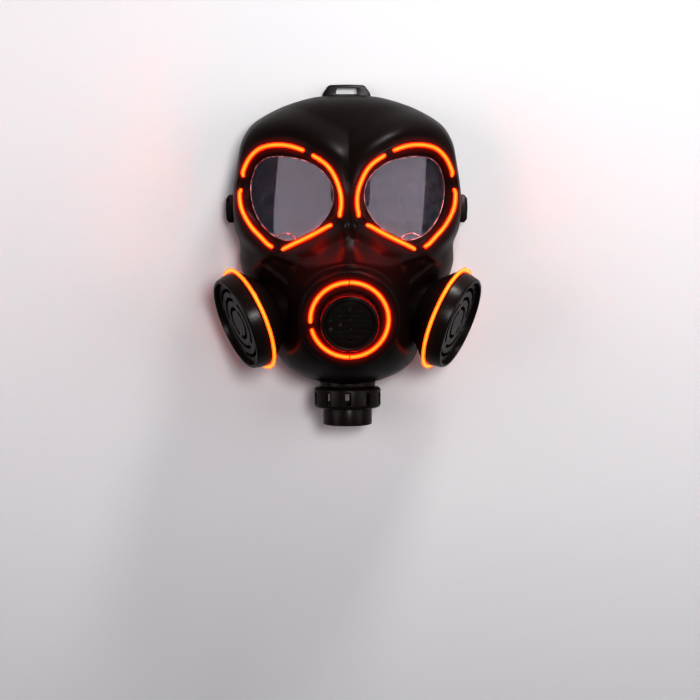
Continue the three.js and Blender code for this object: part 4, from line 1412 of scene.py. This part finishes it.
def floor():
    mesh = bpy.data.meshes.new("floor")
    corners = [(x * FLOOR_HALF, y * FLOOR_HALF, 0) for x, y in ((-1, -1), (1, -1), (1, 1), (-1, 1))]
    mesh.from_pydata(corners, [], [(0, 1, 2, 3)])
    mesh.materials.append(pale_floor())
    piece = bpy.data.objects.new("floor", mesh)
    bpy.context.scene.collection.objects.link(piece)


def softbox(name, place, target, width, height, power, colour=(1, 1, 1), roll=0):
    data = bpy.data.lights.new(name, "AREA")
    data.shape = "RECTANGLE"
    data.size, data.size_y = width, height
    data.energy = power
    data.color = colour
    lamp = bpy.data.objects.new(name, data)
    lamp.location = place
    aim = (Vector(target) - Vector(place)).to_track_quat("-Z", "Y").to_matrix()
    lamp.rotation_euler = (aim @ Matrix.Rotation(math.radians(roll), 3, "Z")).to_euler()
    bpy.context.scene.collection.objects.link(lamp)
    return lamp


def spill(side, sign):
    """The red light that the wires throw on one side of the nose."""
    place, target = (sign * 0.031, 0.012, 0.137), (sign * 0.02, 0.008, 0.102)
    lamp = softbox("spill_" + side, place, target, 0.026, 0.034, 0.025, (1, 0.03, 0.015))
    lamp.data.spread = math.radians(62)
    lamp.visible_camera = False


def camera():
    """The photo's viewpoint, with its focal length of twice the picture's width."""
    eye = (np.array([-22.8, 111.5, 1130.4]) + SHIFT) * MM
    ahead = Vector((0.0224, -0.1716, -0.9849)).normalized()
    right = ahead.cross(Vector((0, 1, 0))).normalized()
    up = right.cross(ahead)
    data = bpy.data.cameras.new("camera")
    data.angle = 2 * math.atan(0.25)
    data.clip_start = 0.05
    data.clip_end = 20
    lens_object = bpy.data.objects.new("camera", data)
    turn = Matrix((right, up, -ahead)).transposed().to_4x4()
    lens_object.matrix_world = Matrix.Translation(eye.tolist()) @ turn
    bpy.context.scene.collection.objects.link(lens_object)
    bpy.context.scene.camera = lens_object


def halo():
    """The faint halo that the glowing wire leaves in the picture."""
    scene = bpy.context.scene
    scene.use_nodes = True
    tree = scene.node_tree
    tree.nodes.clear()
    picture = tree.nodes.new("CompositorNodeRLayers")
    glare = tree.nodes.new("CompositorNodeGlare")
    glare.glare_type = "BLOOM"
    glare.quality = "HIGH"
    for name, value in {"Threshold": 2.0, "Maximum": 5.0, "Strength": 0.06, "Size": 0.02}.items():
        glare.inputs[name].default_value = value
    result = tree.nodes.new("CompositorNodeComposite")
    tree.links.new(picture.outputs["Image"], glare.inputs["Image"])
    tree.links.new(glare.outputs["Image"], result.inputs["Image"])


floor()
softbox("key", (0.42, 1.25, 0.42), (0, 0.05, 0.07), 0.3, 0.3, 18)
softbox("front", (0.22, 0.34, 1.45), (0, 0.03, 0.07), 0.36, 0.36, 19)
softbox("right_panel", (0.95, 0.15, 0.62), (0, 0.03, 0.07), 0.8, 0.74, 6.6, (1, 0.92, 0.96), -34)
softbox("left_panel", (-0.95, 0.15, 0.7), (0, 0.03, 0.07), 0.8, 0.79, 7.6, (1, 0.92, 0.96), -34)
for side_name, side_sign in SIDES.items():
    spill(side_name, side_sign)
world = bpy.data.worlds.new("world")
world.use_nodes = True
sky = world.node_tree.nodes["Background"].inputs
sky["Color"].default_value = (0.6, 0.69, 0.9, 1)
sky["Strength"].default_value = 0.12
bpy.context.scene.world = world
picture = bpy.context.scene.view_settings
picture.view_transform = "Standard"
picture.look = "None"
picture.gamma = 0.72
camera()
halo()
